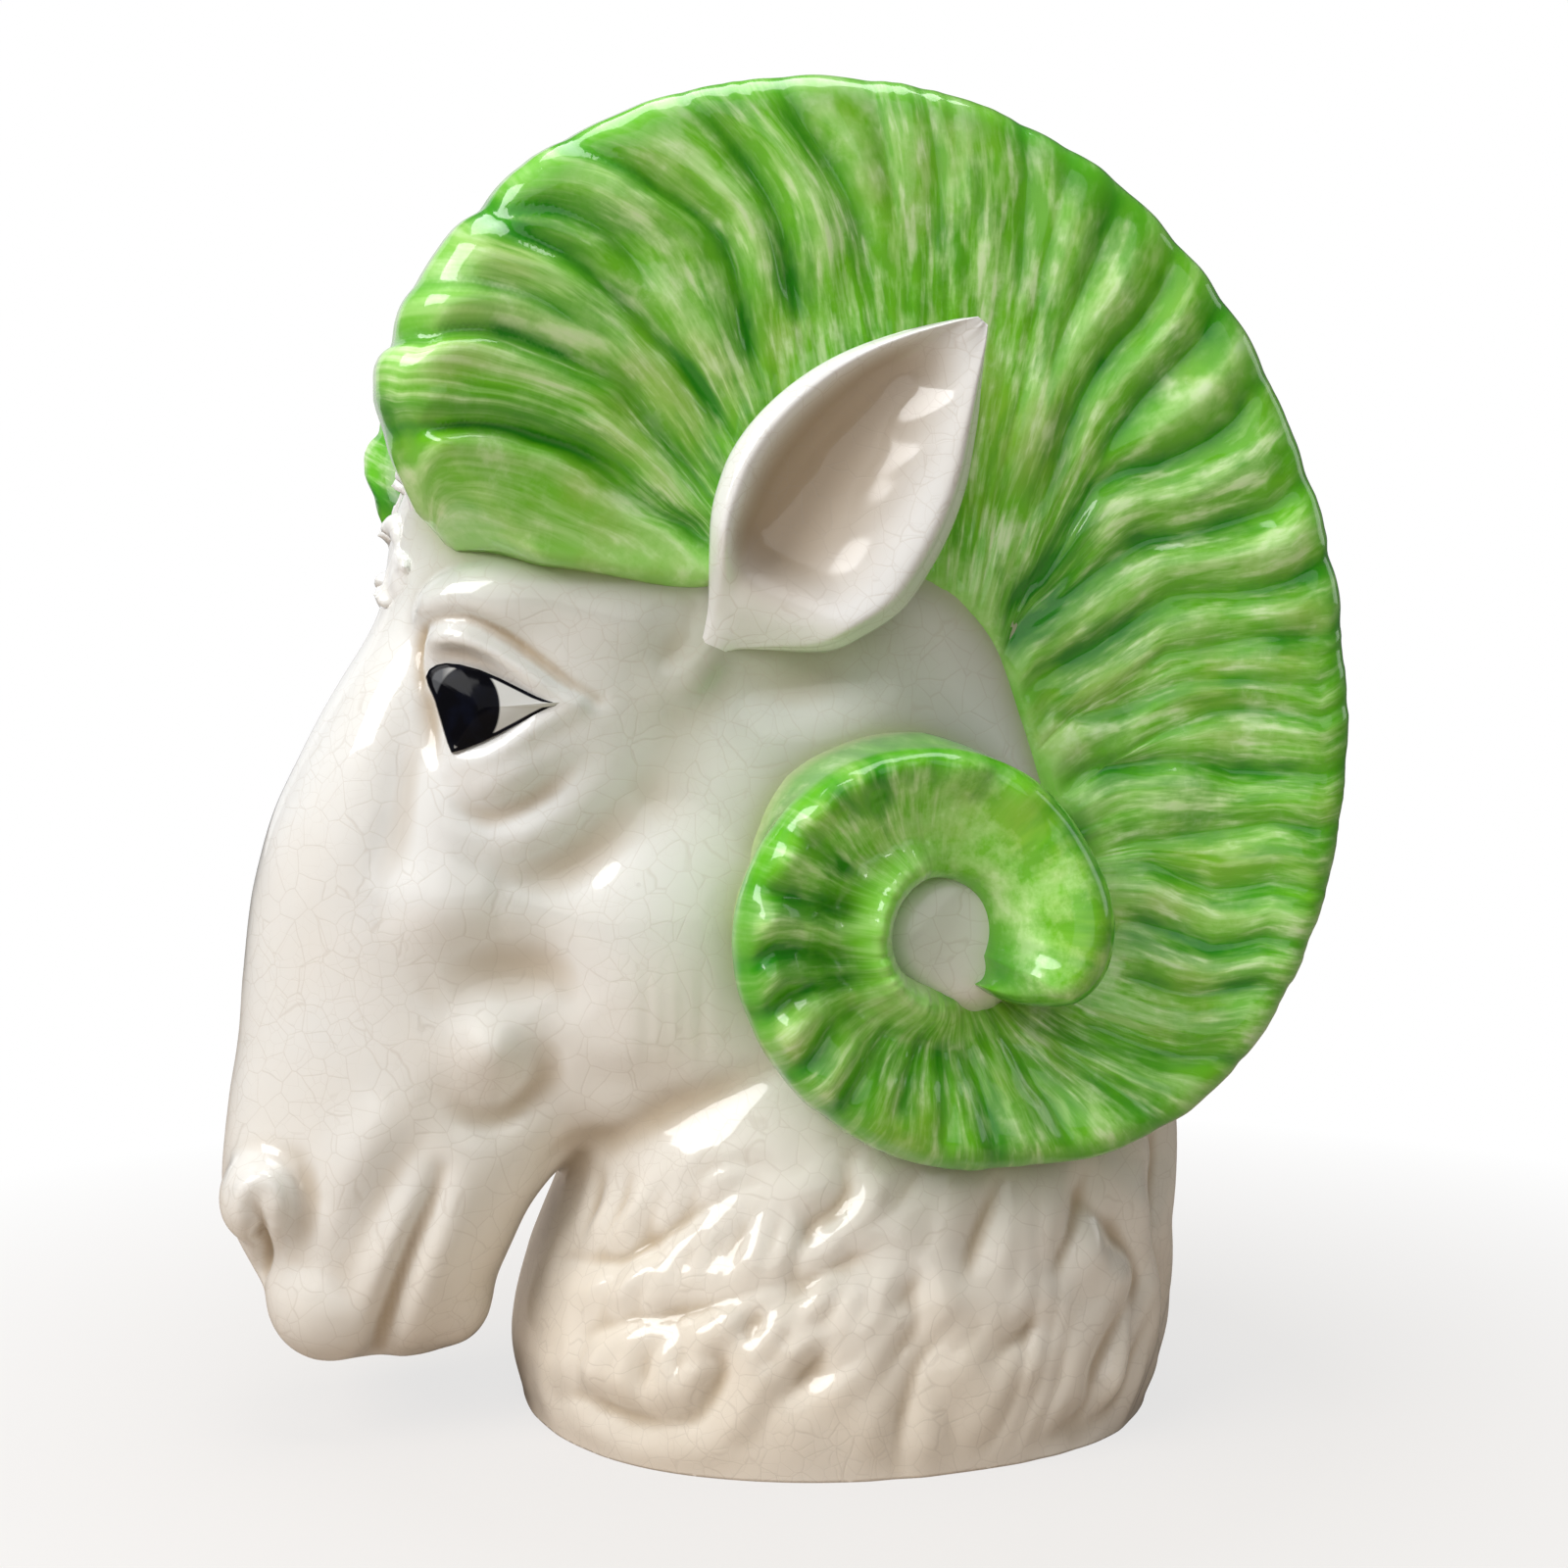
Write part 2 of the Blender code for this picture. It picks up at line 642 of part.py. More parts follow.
def build_body(form, material):
    """The shell: the form, hollowed from the mouth down to the floor, with sockets, nostrils and mouth."""
    body = piece("body_shell", shape_of(form), material)
    rings = stack(COLUMN, COLUMN_FULLNESS, inset=WALL, low=FLOOR_THICKNESS, step=HOLLOW_STEP)
    over = oval(COLUMN[-1]._replace(height=RIM_HEIGHT + OVERLAP), COLUMN_FULLNESS, inset=WALL)
    hollow = helper("planting_hollow", loft(rings + [over]))
    low = LIP_HEIGHT + MUZZLE_FLOOR
    high = FACE[-2].height
    muzzle = stack(FACE, FACE_FULLNESS, FACE_TAPER, inset=FACE_WALL, low=low, high=high, step=HOLLOW_STEP)
    muzzle_hollow = helper("muzzle_hollow", loft(muzzle))
    details = bmesh.new()
    for side in (1, -1):
        add_lump(details, EYE, side, grow=SEAM_GAP)
        add_lump(details, NOSTRIL, side, subdivisions=2)
    details = helper("sockets_and_nostrils", details)
    groove = helper("mouth_groove", mouth_groove())
    cut(body, hollow, muzzle_hollow, details, groove)
    return body


# Horns


def change(angle, start, end):
    """0 before the start angle, 1 past the end angle, smooth between."""
    return smoothstep((angle - start) / (end - start))


def rounding(distance, radius):
    """How far a rounded edge lies below its face, at a distance from the edge."""
    short = 1 - min(distance / radius, 1.0)
    return radius * (1 - math.sqrt(1 - short * short))


def stand(angle, share):
    """How far the band's face stands out, at a share of its width."""
    places = between(HORN_STANDS, angle)[1:]
    return between([Level(*level) for level in zip(STAND_SHARES, places)], share).stand


def back_at(angle):
    """The place and slope of the band's back, on straight lines between the rows."""
    i = 0
    while angle < HORN_BACKS[i + 1].angle:
        i += 1
    low, high = HORN_BACKS[i], HORN_BACKS[i + 1]
    t = (angle - low.angle) / (high.angle - low.angle)
    place = low.place + (high.place - low.place) * t
    return Back(angle, place, low.slope + (high.slope - low.slope) * t)


def horn_ring(inner_angle, outer_angle, relief, side):
    """One cross-section of the band: along its face from the inner edge out, then along its back."""
    turn = between(HORN_TURNS, (inner_angle + outer_angle) / 2)
    width = turn.outer - turn.inner
    forehead = change(turn.angle, CREST_FROM, HORN_TURNS[0].angle)
    tip = change(turn.angle, TIP_FROM, TIP_TO)
    edge = EDGE_ROUND + (FOREHEAD_ROUND - EDGE_ROUND) * forehead + (TIP_ROUND - EDGE_ROUND) * tip
    edge = min(edge, width / 2)
    inner_edge = min(INNER_ROUND, width / 4)
    scallop = EDGE_SCALLOP + (FOREHEAD_SCALLOP - EDGE_SCALLOP) * forehead
    from_start = math.radians(HORN_TURNS[0].angle - turn.angle) * turn.outer
    to_end = math.radians(turn.angle - HORN_TURNS[-1].angle) * turn.outer
    narrow = 1 - (1 - END_SHARE) * rounding(to_end, END_ROUND) / END_ROUND
    swell = narrow * (1 - (1 - START_SHARE) * rounding(from_start, START_ROUND) / START_ROUND)
    flat = width - inner_edge - edge
    steps = [0.0, inner_edge, inner_edge + flat / 4, inner_edge + flat / 2, inner_edge + flat * 3 / 4]
    steps += [width - edge, width - edge * EDGE_BREAK, width]
    section = []
    for step in steps:
        share = step / width
        angle = inner_angle + (outer_angle - inner_angle) * share
        here = between(HORN_TURNS, angle)
        near_edge = change(share, ROLL_FADES, 1.0)
        fade = 1 - ROLL_FADE * (1 - forehead) * near_edge
        face = stand(angle, share) + relief * fade * smoothstep(share / ROLL_STARTS)
        face -= rounding(step, inner_edge) + rounding(width - step, edge)
        back = back_at(angle).place
        reach = here.inner + (here.outer - here.inner) * share + scallop * relief * near_edge
        section.append((angle, back + (face - back) * swell, reach))
    outer_back = back_at(outer_angle)
    foot = between(HORN_TURNS, outer_angle).outer - outer_back.slope
    section.append((outer_angle, outer_back.place, foot))
    section.append((inner_angle, back_at(inner_angle).place, between(HORN_TURNS, inner_angle).inner))
    middle = (turn.inner + turn.outer) / 2
    ring = []
    for angle, x, reach in section:
        radius = middle + (reach - middle) * narrow
        y = CURL_EYE[0] + radius * math.cos(math.radians(angle))
        z = CURL_EYE[1] + radius * math.sin(math.radians(angle))
        ring.append(Vector((x * side, y, z)))
    return ring


def horn_courses():
    """Cross-sections along the horn: the angles of their inner and outer end, and how high they rise."""
    start = HORN_TURNS[0].angle
    end = HORN_TURNS[-1].angle
    marks = [Valley(start, start, 0.0)] + HORN_VALLEYS
    courses = []
    for valley, following in zip(marks, marks[1:]):
        for step, height in zip(ROLL_STEPS, ROLL_HEIGHTS):
            inner = valley.inner + (following.inner - valley.inner) * step
            outer = valley.outer + (following.outer - valley.outer) * step
            depth = valley.depth + (following.depth - valley.depth) * step
            courses.append((inner, outer, height * depth))
    last = HORN_VALLEYS[-1]
    courses.append((last.inner, last.outer, ROLL_HEIGHTS[0] * last.depth))
    for k in range(1, TIP_RINGS + 1):
        step = k / TIP_RINGS
        inner = last.inner + (end - last.inner) * step
        outer = last.outer + (end - last.outer) * step
        courses.append((inner, outer, 0.0))
    return courses


def horn_mesh(side):
    return loft([horn_ring(*course, side) for course in horn_courses()])


# Ears


def ear_mesh(side):
    """A leaf with a scooped front: rings of front and back points from the root to the tip."""
    rise = math.radians(EAR_RISE)
    spread = math.radians(EAR_SPREAD)
    along = Vector((math.sin(spread), math.cos(spread) * math.cos(rise), math.cos(spread) * math.sin(rise)))
    across = Vector((0, math.sin(rise), -math.cos(rise)))
    normal = across.cross(along)
    normal = normal if normal.x > 0 else -normal
    rings = []
    for k in range(EAR_ROWS + 1):
        u = k / EAR_ROWS
        phase = EAR_ROOT_PHASE + (EAR_TIP_PHASE - EAR_ROOT_PHASE) * u
        half = max(EAR_HALF_WIDTH * math.sin(math.pi * phase**EAR_FULL_POWER), EAR_THICKNESS / 2)
        middle = EAR_ROOT + along * EAR_LENGTH * u
        bowl = EAR_BOWL * half / EAR_HALF_WIDTH
        front = []
        rear = []
        for j in range(EAR_COLUMNS + 1):
            v = 2 * j / EAR_COLUMNS - 1
            sheet = middle + across * half * v + normal * bowl * (v * v - 1)
            thickness = EAR_THICKNESS * (1 - EAR_RIM_SHARE * v * v)
            front.append(sheet + normal * thickness / 2)
            rear.append(sheet - normal * thickness / 2)
        ring = front + rear[::-1]
        rings.append([Vector((p.x * side, p.y, p.z)) for p in ring])
    return loft(rings)


# Forelock


def forehead_front(height):
    """Where the forehead's skin is, at the middle of the face."""
    front = between(COLUMN, height).front
    if height < FACE[-1].height:
        front = min(front, between(FACE, height).front)
    return front


def forelock_mesh():
    """Rows of overlapping curls, each row set between the curls of the last."""
    mesh = bmesh.new()
    steps = max(1, round((FORELOCK_TOP - FORELOCK_BOTTOM) / FORELOCK_PITCH))
    for row in range(steps + 1):
        z = FORELOCK_TOP + (FORELOCK_BOTTOM - FORELOCK_TOP) * row / steps
        y = forehead_front(z) + CURL_SINK
        columns = (-1, 0, 1) if row % 2 else (-0.5, 0.5)
        for column in columns:
            centre = (FORELOCK_HALF_WIDTH * column, y, z)
            radii = (CURL_RADIUS, CURL_RADIUS, CURL_TALL * CURL_RADIUS)
            add_lump(mesh, Lump(centre, radii), subdivisions=2)
    return mesh


# Assembly


def main():
    for old in list(bpy.data.objects):
        bpy.data.objects.remove(old)
    white = glaze("white_glaze", WHITE, GLOSS)
    green = glaze("green_glaze", GREEN, GLOSS)
    black = glaze("eye_glaze", BLACK, EYE_GLOSS)

    form = body_form()
    build_body(form, white)
    clear_of_body = grown("clear_of_body", form, SEAM_GAP)

    for side, name in ((1, "left"), (-1, "right")):
        eye = bmesh.new()
        piece(name + "_eye", add_lump(eye, EYE, side), black)

    horns = []
    for side, name in ((1, "left"), (-1, "right")):
        horn = piece(name + "_horn", horn_mesh(side), green)
        horns.append(grown("clear_of_" + name + "_horn", horn, SEAM_GAP))
        cut(horn, clear_of_body)

    for side, name, clear_of_horn in ((1, "left", horns[0]), (-1, "right", horns[1])):
        ear = piece(name + "_ear", ear_mesh(side), white)
        cut(ear, clear_of_body, clear_of_horn)

    tuft_form = blended("forelock_form", forelock_mesh(), FORELOCK_VOXEL, FORELOCK_SMOOTHING)
    tuft = piece("forelock", shape_of(thin(tuft_form, FORELOCK_KEEP)), white)
    cut(tuft, clear_of_body, *horns)


main()
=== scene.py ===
# %% The frame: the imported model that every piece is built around
import math

import bmesh
import bpy
import numpy as np
from mathutils import Matrix, Vector
from mathutils.bvhtree import BVHTree


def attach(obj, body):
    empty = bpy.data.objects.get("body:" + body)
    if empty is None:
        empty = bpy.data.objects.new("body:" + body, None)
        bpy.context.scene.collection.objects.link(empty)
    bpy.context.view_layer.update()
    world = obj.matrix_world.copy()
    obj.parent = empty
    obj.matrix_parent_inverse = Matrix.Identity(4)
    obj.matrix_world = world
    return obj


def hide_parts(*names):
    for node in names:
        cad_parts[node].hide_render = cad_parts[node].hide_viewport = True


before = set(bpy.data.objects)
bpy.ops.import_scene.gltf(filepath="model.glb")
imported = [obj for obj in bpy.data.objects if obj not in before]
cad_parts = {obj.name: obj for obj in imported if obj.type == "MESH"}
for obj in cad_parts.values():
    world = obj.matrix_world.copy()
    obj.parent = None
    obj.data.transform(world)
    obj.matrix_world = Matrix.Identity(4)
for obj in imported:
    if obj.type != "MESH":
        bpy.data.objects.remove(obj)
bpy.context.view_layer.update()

# %% [markdown]
# ## Camera
# The planter was seen from the ram's left side, a little in front of it, from close by and level with its
# cheek. A camera could be aimed by eye. Here its place and lens were worked out from the oval foot, the two
# horns and the profile, so a point of the picture can be followed into the scene and laid on the piece that
# it belongs to.

# %% Camera
PICTURE = 1600
FOCAL = 1862.0
STAND = Vector((0.4816, -0.1353, 0.1610))
HEADING = math.radians(76.0)
SENSOR = 36.0

camera = bpy.data.objects.new("camera", bpy.data.cameras.new("camera"))
bpy.context.scene.collection.objects.link(camera)
camera.location = STAND
camera.rotation_euler = (math.pi / 2, 0.0, HEADING)
camera.data.sensor_width = SENSOR
camera.data.lens = SENSOR * FOCAL / PICTURE
camera.data.clip_start = 0.01
bpy.context.scene.camera = camera

AHEAD = Vector((-math.sin(HEADING), math.cos(HEADING), 0.0))
RIGHT = Vector((math.cos(HEADING), math.sin(HEADING), 0.0))
UP = Vector((0.0, 0.0, 1.0))


def sight(column, row):
    """The direction in which the camera sees a point of the 1600 by 1600 picture."""
    return AHEAD + RIGHT * ((column - PICTURE / 2) / FOCAL) + UP * ((PICTURE / 2 - row) / FOCAL)


print("camera lens", round(camera.data.lens, 2), "mm at", tuple(round(c, 3) for c in STAND))

# %% [markdown]
# ## Curves and clay
# A mould maker describes such a head by a few sections and blends them. The same is done here: rows of
# numbers give the sections, a smooth curve runs through the rows, and rings of points become a skin.

# %% Curves through rows, and skins through rings
def through(rows, at):
    """Columns of a table, read on a smooth curve at values of its first column."""
    rows = np.asarray(rows, float)
    if rows[0, 0] > rows[-1, 0]:
        rows = rows[::-1]
    at = np.atleast_1d(np.asarray(at, float))
    key = rows[:, 0]
    value = rows[:, 1:]
    low = np.clip(np.arange(len(key)) - 1, 0, None)
    high = np.clip(np.arange(len(key)) + 1, None, len(key) - 1)
    slope = (value[high] - value[low]) / (key[high] - key[low])[:, None]
    i = np.clip(np.searchsorted(key, at) - 1, 0, len(key) - 2)
    span = (key[i + 1] - key[i])[:, None]
    t = (at - key[i])[:, None] / span
    start = value[i] * (1 + 2 * t) * (1 - t) ** 2 + slope[i] * span * t * (1 - t) ** 2
    end = value[i + 1] * t * t * (3 - 2 * t) + slope[i + 1] * span * t * t * (t - 1)
    return (start + end).T


def ease(t):
    """0 to 1, with a soft start and a soft end."""
    t = np.clip(t, 0.0, 1.0)
    return t * t * (3 - 2 * t)


def change(at, start, end):
    return ease((np.asarray(at, float) - start) / (end - start))


def put(name, mesh):
    """A mesh as a smooth-shaded object of the scene."""
    mesh.shade_smooth()
    made = bpy.data.objects.new(name, mesh)
    bpy.context.scene.collection.objects.link(made)
    return made


def skin(name, rings):
    """A closed mesh through rings of points, with a fan of faces over each end."""
    rings = np.asarray(rings, float)
    count, around = rings.shape[:2]
    here = np.arange(count - 1)[:, None] * around + np.arange(around)[None, :]
    beside = np.roll(here, -1, axis=1)
    sides = np.stack((here, beside, beside + around, here + around), axis=-1).reshape(-1, 4)
    points = np.vstack((rings.reshape(-1, 3), rings[0].mean(0), rings[-1].mean(0)))
    ends = []
    for ring, middle in ((0, count * around), ((count - 1) * around, count * around + 1)):
        for k in range(around):
            ends.append((ring + k, ring + (k + 1) % around, middle))
    mesh = bpy.data.meshes.new(name)
    mesh.from_pydata(points.tolist(), [], sides.tolist() + ends)
    clean = bmesh.new()
    clean.from_mesh(mesh)
    bmesh.ops.recalc_face_normals(clean, faces=clean.faces)
    clean.to_mesh(mesh)
    clean.free()
    return mesh


def finished(made):
    """The mesh of an object with its modifiers worked out, and the object removed."""
    bpy.context.view_layer.update()
    graph = bpy.context.evaluated_depsgraph_get()
    mesh = bpy.data.meshes.new_from_object(made.evaluated_get(graph))
    bpy.data.objects.remove(made)
    return mesh


def from_clay(name, clay):
    """The mesh of loose forms, which are then removed."""
    mesh = bpy.data.meshes.new(name)
    clay.to_mesh(mesh)
    clay.free()
    return mesh


def points_of(mesh):
    flat = np.empty(len(mesh.vertices) * 3)
    mesh.vertices.foreach_get("co", flat)
    return flat.reshape(-1, 3)


def normals_of(mesh):
    flat = np.empty(len(mesh.vertices) * 3)
    mesh.vertex_normals.foreach_get("vector", flat)
    return flat.reshape(-1, 3)


def edges_of(mesh):
    flat = np.empty(len(mesh.edges) * 2, int)
    mesh.edges.foreach_get("vertices", flat)
    return flat.reshape(-1, 2)


def write_points(mesh, points):
    mesh.vertices.foreach_set("co", np.asarray(points, np.float32).ravel())
    mesh.update()


def note(mesh, name, values):
    """A number at each point of the mesh, for the glaze to read."""
    kept = mesh.attributes.new(name, "FLOAT", "POINT")
    kept.data.foreach_set("value", np.asarray(values, np.float32).ravel())


def both_sides(part, made_how, rings, notes):
    """A left piece through rings of points and its mirrored right copy, with notes on their points."""
    pair = []
    for side, name in ((1, "left"), (-1, "right")):
        mesh = skin(f"{name}_{part}", rings * np.array((side, 1, 1)))
        for key, table in notes.items():
            note(mesh, key, np.concatenate((table.ravel(), [table[0].mean(), table[-1].mean()])))
        pair.append(put(f"{name}_{part}_{made_how}", mesh))
    return pair


print("a curve through 0, 1 and 0, read half way to the 1:", through([(0, 0), (1, 1), (2, 0)], 0.5).ravel())

# %% Smooth noise for hand-made unevenness
def lattice(i, j, k, seed):
    """A fixed number from 0 to 1 for each corner of a grid."""
    mixed = (i * 374761393 + j * 668265263 + k * 2147483647 + seed * 974634777) & 0xFFFFFFFF
    mixed = ((mixed ^ (mixed >> 13)) * 1274126177) & 0xFFFFFFFF
    return ((mixed ^ (mixed >> 16)) & 0xFFFF) / 65535.0


def uneven(x, y, z=0.0, seed=1):
    """Smooth noise from -1 to 1."""
    x, y, z = np.broadcast_arrays(np.asarray(x, float), np.asarray(y, float), np.asarray(z, float))
    base = [np.floor(v).astype(np.int64) for v in (x, y, z)]
    part = [ease(v - np.floor(v)) for v in (x, y, z)]
    total = np.zeros(x.shape)
    for corner in range(8):
        step = (corner & 1, corner >> 1 & 1, corner >> 2 & 1)
        weight = np.ones(x.shape)
        for axis in range(3):
            weight = weight * (part[axis] if step[axis] else 1 - part[axis])
        total += weight * lattice(base[0] + step[0], base[1] + step[1], base[2] + step[2], seed)
    return 2 * total - 1


print("noise sample", np.round(uneven(np.linspace(0, 3, 4), 0.5), 3))

# %% [markdown]
# ## Head and neck
# On the real object this is one hollow casting: a tall oval neck that carries on up as the skull, and a
# long face in front of it. It could be one subdivided cage, but a cage has to route loops round every fold.
# Overlapping solid forms, fused into one even skin and smoothed, behave like clay, and folds can be pressed
# in anywhere afterwards.

# %% Sections of neck, skull and face
RIM = 0.3060
LIPS = 0.0170
WALL = 0.0065
HOLLOW_MIDDLE = -0.0150
FACE_WALL = 0.0110
FLOOR = 0.0090
FACE_TOP = 0.2500
NECK_FULLNESS = 2.2
FACE_FULLNESS = 2.3
FACE_TAPER = 0.22
FOOT_SUNK = 0.010
NECK = [
    (0.000, -0.0850, 0.0810, 0.0780),
    (0.014, -0.0885, 0.0870, 0.0785),
    (0.032, -0.0855, 0.0890, 0.0765),
    (0.062, -0.0750, 0.0900, 0.0690),
    (0.100, -0.0730, 0.0950, 0.0610),
    (0.150, -0.0850, 0.1040, 0.0580),
    (0.200, -0.1000, 0.1055, 0.0590),
    (0.250, -0.1130, 0.0940, 0.0580),
    (0.285, -0.0990, 0.0760, 0.0540),
    (RIM, -0.0840, 0.0570, 0.0500),
]
FACE = [
    (LIPS, -0.1370, -0.1060, 0.0150),
    (0.026, -0.1460, -0.0970, 0.0250),
    (0.040, -0.1545, -0.0905, 0.0310),
    (0.055, -0.1610, -0.0830, 0.0335),
    (0.068, -0.1615, -0.0720, 0.0345),
    (0.100, -0.1575, -0.0550, 0.0365),
    (0.125, -0.1555, -0.0450, 0.0395),
    (0.150, -0.1505, -0.0380, 0.0440),
    (0.180, -0.1370, -0.0300, 0.0490),
    (0.205, -0.1230, -0.0200, 0.0520),
    (0.230, -0.1190, -0.0100, 0.0510),
    (FACE_TOP, -0.1100, 0.0000, 0.0460),
]
LUMPS = {
    "brow": ((0.0310, -0.0850, 0.2020), (0.0190, 0.0310, 0.0140)),
    "jaw": ((0.0190, -0.0450, 0.1200), (0.0350, 0.0520, 0.0580)),
    "cheek knob": ((0.0250, -0.0940, 0.0900), (0.0120, 0.0120, 0.0130)),
    "nostril wing": ((0.0160, -0.1490, 0.0600), (0.0140, 0.0130, 0.0130)),
    "upper lip": ((0.0110, -0.1340, 0.0350), (0.0190, 0.0170, 0.0180)),
    "chin": ((0.0090, -0.1060, 0.0330), (0.0170, 0.0120, 0.0150)),
}

EAR_ROOT = Vector((0.0725, -0.0466, 0.1943))
EAR_ALONG = Vector((0.191, 0.631, 0.752)).normalized()
EAR_ACROSS = Vector((0.0, 0.766, -0.643)).normalized()
EAR_NORMAL = EAR_ALONG.cross(EAR_ACROSS).normalized() * -1
EAR_TURN = Matrix((EAR_NORMAL, EAR_ACROSS, EAR_ALONG)).transposed()
EAR_BED = EAR_ROOT + EAR_ALONG * 0.026 - EAR_NORMAL * 0.0285
EAR_BED_RADII = (0.0120, 0.0190, 0.0420)


def ovals(table, heights, fullness, taper=0.0, inset=0.0, around=72):
    """Level rings at these heights, narrower at the front by the taper."""
    front, back, half = through(table, heights)
    turn = np.linspace(0, 2 * math.pi, around, endpoint=False)
    across = np.sign(np.sin(turn)) * np.abs(np.sin(turn)) ** (2 / fullness)
    along = np.sign(np.cos(turn)) * np.abs(np.cos(turn)) ** (2 / fullness)
    inset = np.broadcast_to(inset, front.shape)
    reach = (back - front) / 2 - inset
    x = (half - inset)[:, None] * across * (1 - taper * along)
    y = ((front + back) / 2)[:, None] - reach[:, None] * along
    z = np.broadcast_to(np.asarray(heights, float)[:, None], x.shape)
    return np.stack((x, y, z), axis=-1)


column_rings = ovals(NECK, np.linspace(0, RIM, 80), NECK_FULLNESS)
sunk = column_rings[:1] - np.array((0.0, 0.0, FOOT_SUNK))
forms = [skin("column", np.concatenate((sunk, column_rings)))]
face_rings = ovals(FACE, np.linspace(LIPS, FACE_TOP, 80), FACE_FULLNESS, taper=FACE_TAPER)
forms.append(skin("face", face_rings))
clay = bmesh.new()
for form in forms:
    clay.from_mesh(form)
for centre, radii in LUMPS.values():
    for side in (1, -1):
        place = Matrix.Translation((centre[0] * side, centre[1], centre[2]))
        size = Matrix.Diagonal((*radii, 1.0))
        bmesh.ops.create_icosphere(clay, subdivisions=4, radius=1.0, matrix=place @ size)
for side in (1, -1):
    flip = Matrix.Diagonal((side, 1, 1, 1))
    place = flip @ Matrix.Translation(EAR_BED) @ EAR_TURN.to_4x4() @ Matrix.Diagonal((*EAR_BED_RADII, 1.0))
    bmesh.ops.create_icosphere(clay, subdivisions=4, radius=1.0, matrix=place)
bmesh.ops.recalc_face_normals(clay, faces=clay.faces)
lump_mesh = from_clay("clay", clay)
print("clay forms", len(forms), "and lumps", 2 * len(LUMPS))

# %% One even skin over the forms
SKIN_CELL = 0.00135
SKIN_ROUNDS, CHEEK_ROUNDS = 16, 130
CHEEK = np.array((-0.045, 0.128))
CHEEK_REACH = 0.060


def relax(points, pairs, weight, rounds):
    """Points drawn towards their neighbours, most where the weight is high."""
    a, b = pairs.T
    total = len(points)
    count = np.bincount(a, minlength=total) + np.bincount(b, minlength=total)
    for _ in range(rounds):
        around = np.empty_like(points)
        for k in range(3):
            around[:, k] = np.bincount(a, points[b, k], total) + np.bincount(b, points[a, k], total)
        points = points + weight[:, None] * (around / count[:, None] - points)
    return points


soft = put("clay", lump_mesh)
fuse = soft.modifiers.new("fuse", "REMESH")
fuse.mode = "VOXEL"
fuse.voxel_size = SKIN_CELL
head_mesh = finished(soft)
skin_points, skin_edges = points_of(head_mesh), edges_of(head_mesh)
skin_points = relax(skin_points, skin_edges, np.full(len(skin_points), 0.5), SKIN_ROUNDS)
off_cheek = np.linalg.norm(skin_points[:, 1:] - CHEEK, axis=1) / CHEEK_REACH
on_cheek = ease(1.7 - off_cheek) * change(skin_points[:, 2], 0.040, 0.075)
skin_points = relax(skin_points, skin_edges, 0.5 * on_cheek, CHEEK_ROUNDS)
write_points(head_mesh, skin_points)
print("head skin", len(head_mesh.polygons), "faces")

# %% [markdown]
# ## Pressed and raised marks
# The modeller pressed folds into the soft clay with a rounded tool and pushed locks of wool up between the
# presses. Each mark is a short line of picture points, followed from the camera onto the skin. Points of
# the skin near the line move along their normals: down in the press, up beside it. The marks are mirrored,
# because the mould is symmetric.

# %% Following picture points onto the skin
def tree_of(mesh):
    return BVHTree.FromPolygons(points_of(mesh).tolist(), [tuple(p.vertices) for p in mesh.polygons])


head_tree = tree_of(head_mesh)


def on_skin(line):
    """Where the camera sees these picture points on the head."""
    found = []
    for column, row in line:
        hit = head_tree.ray_cast(STAND, sight(column, row).normalized())[0]
        if hit is not None:
            found.append((abs(hit.x), hit.y, hit.z))
    return np.array(found)


def from_behind(line):
    """Where a level look from behind finds the head, for points given sideways and by height."""
    found = []
    for x, z in line:
        hit = head_tree.ray_cast(Vector((x, 0.4, z)), Vector((0, -1, 0)))[0]
        found.append((abs(hit.x), hit.y, hit.z))
    return np.array(found)


def smooth_line(line):
    """More points on a smooth curve through these."""
    key = np.arange(len(line), dtype=float)
    return through(np.column_stack((key, line)), np.linspace(0, key[-1], 5 * len(line))).T


def ends_of(share):
    """How strong a mark is along its length: a third at its ends, full in its middle."""
    return 0.33 + 0.67 * np.sin(math.pi * share)


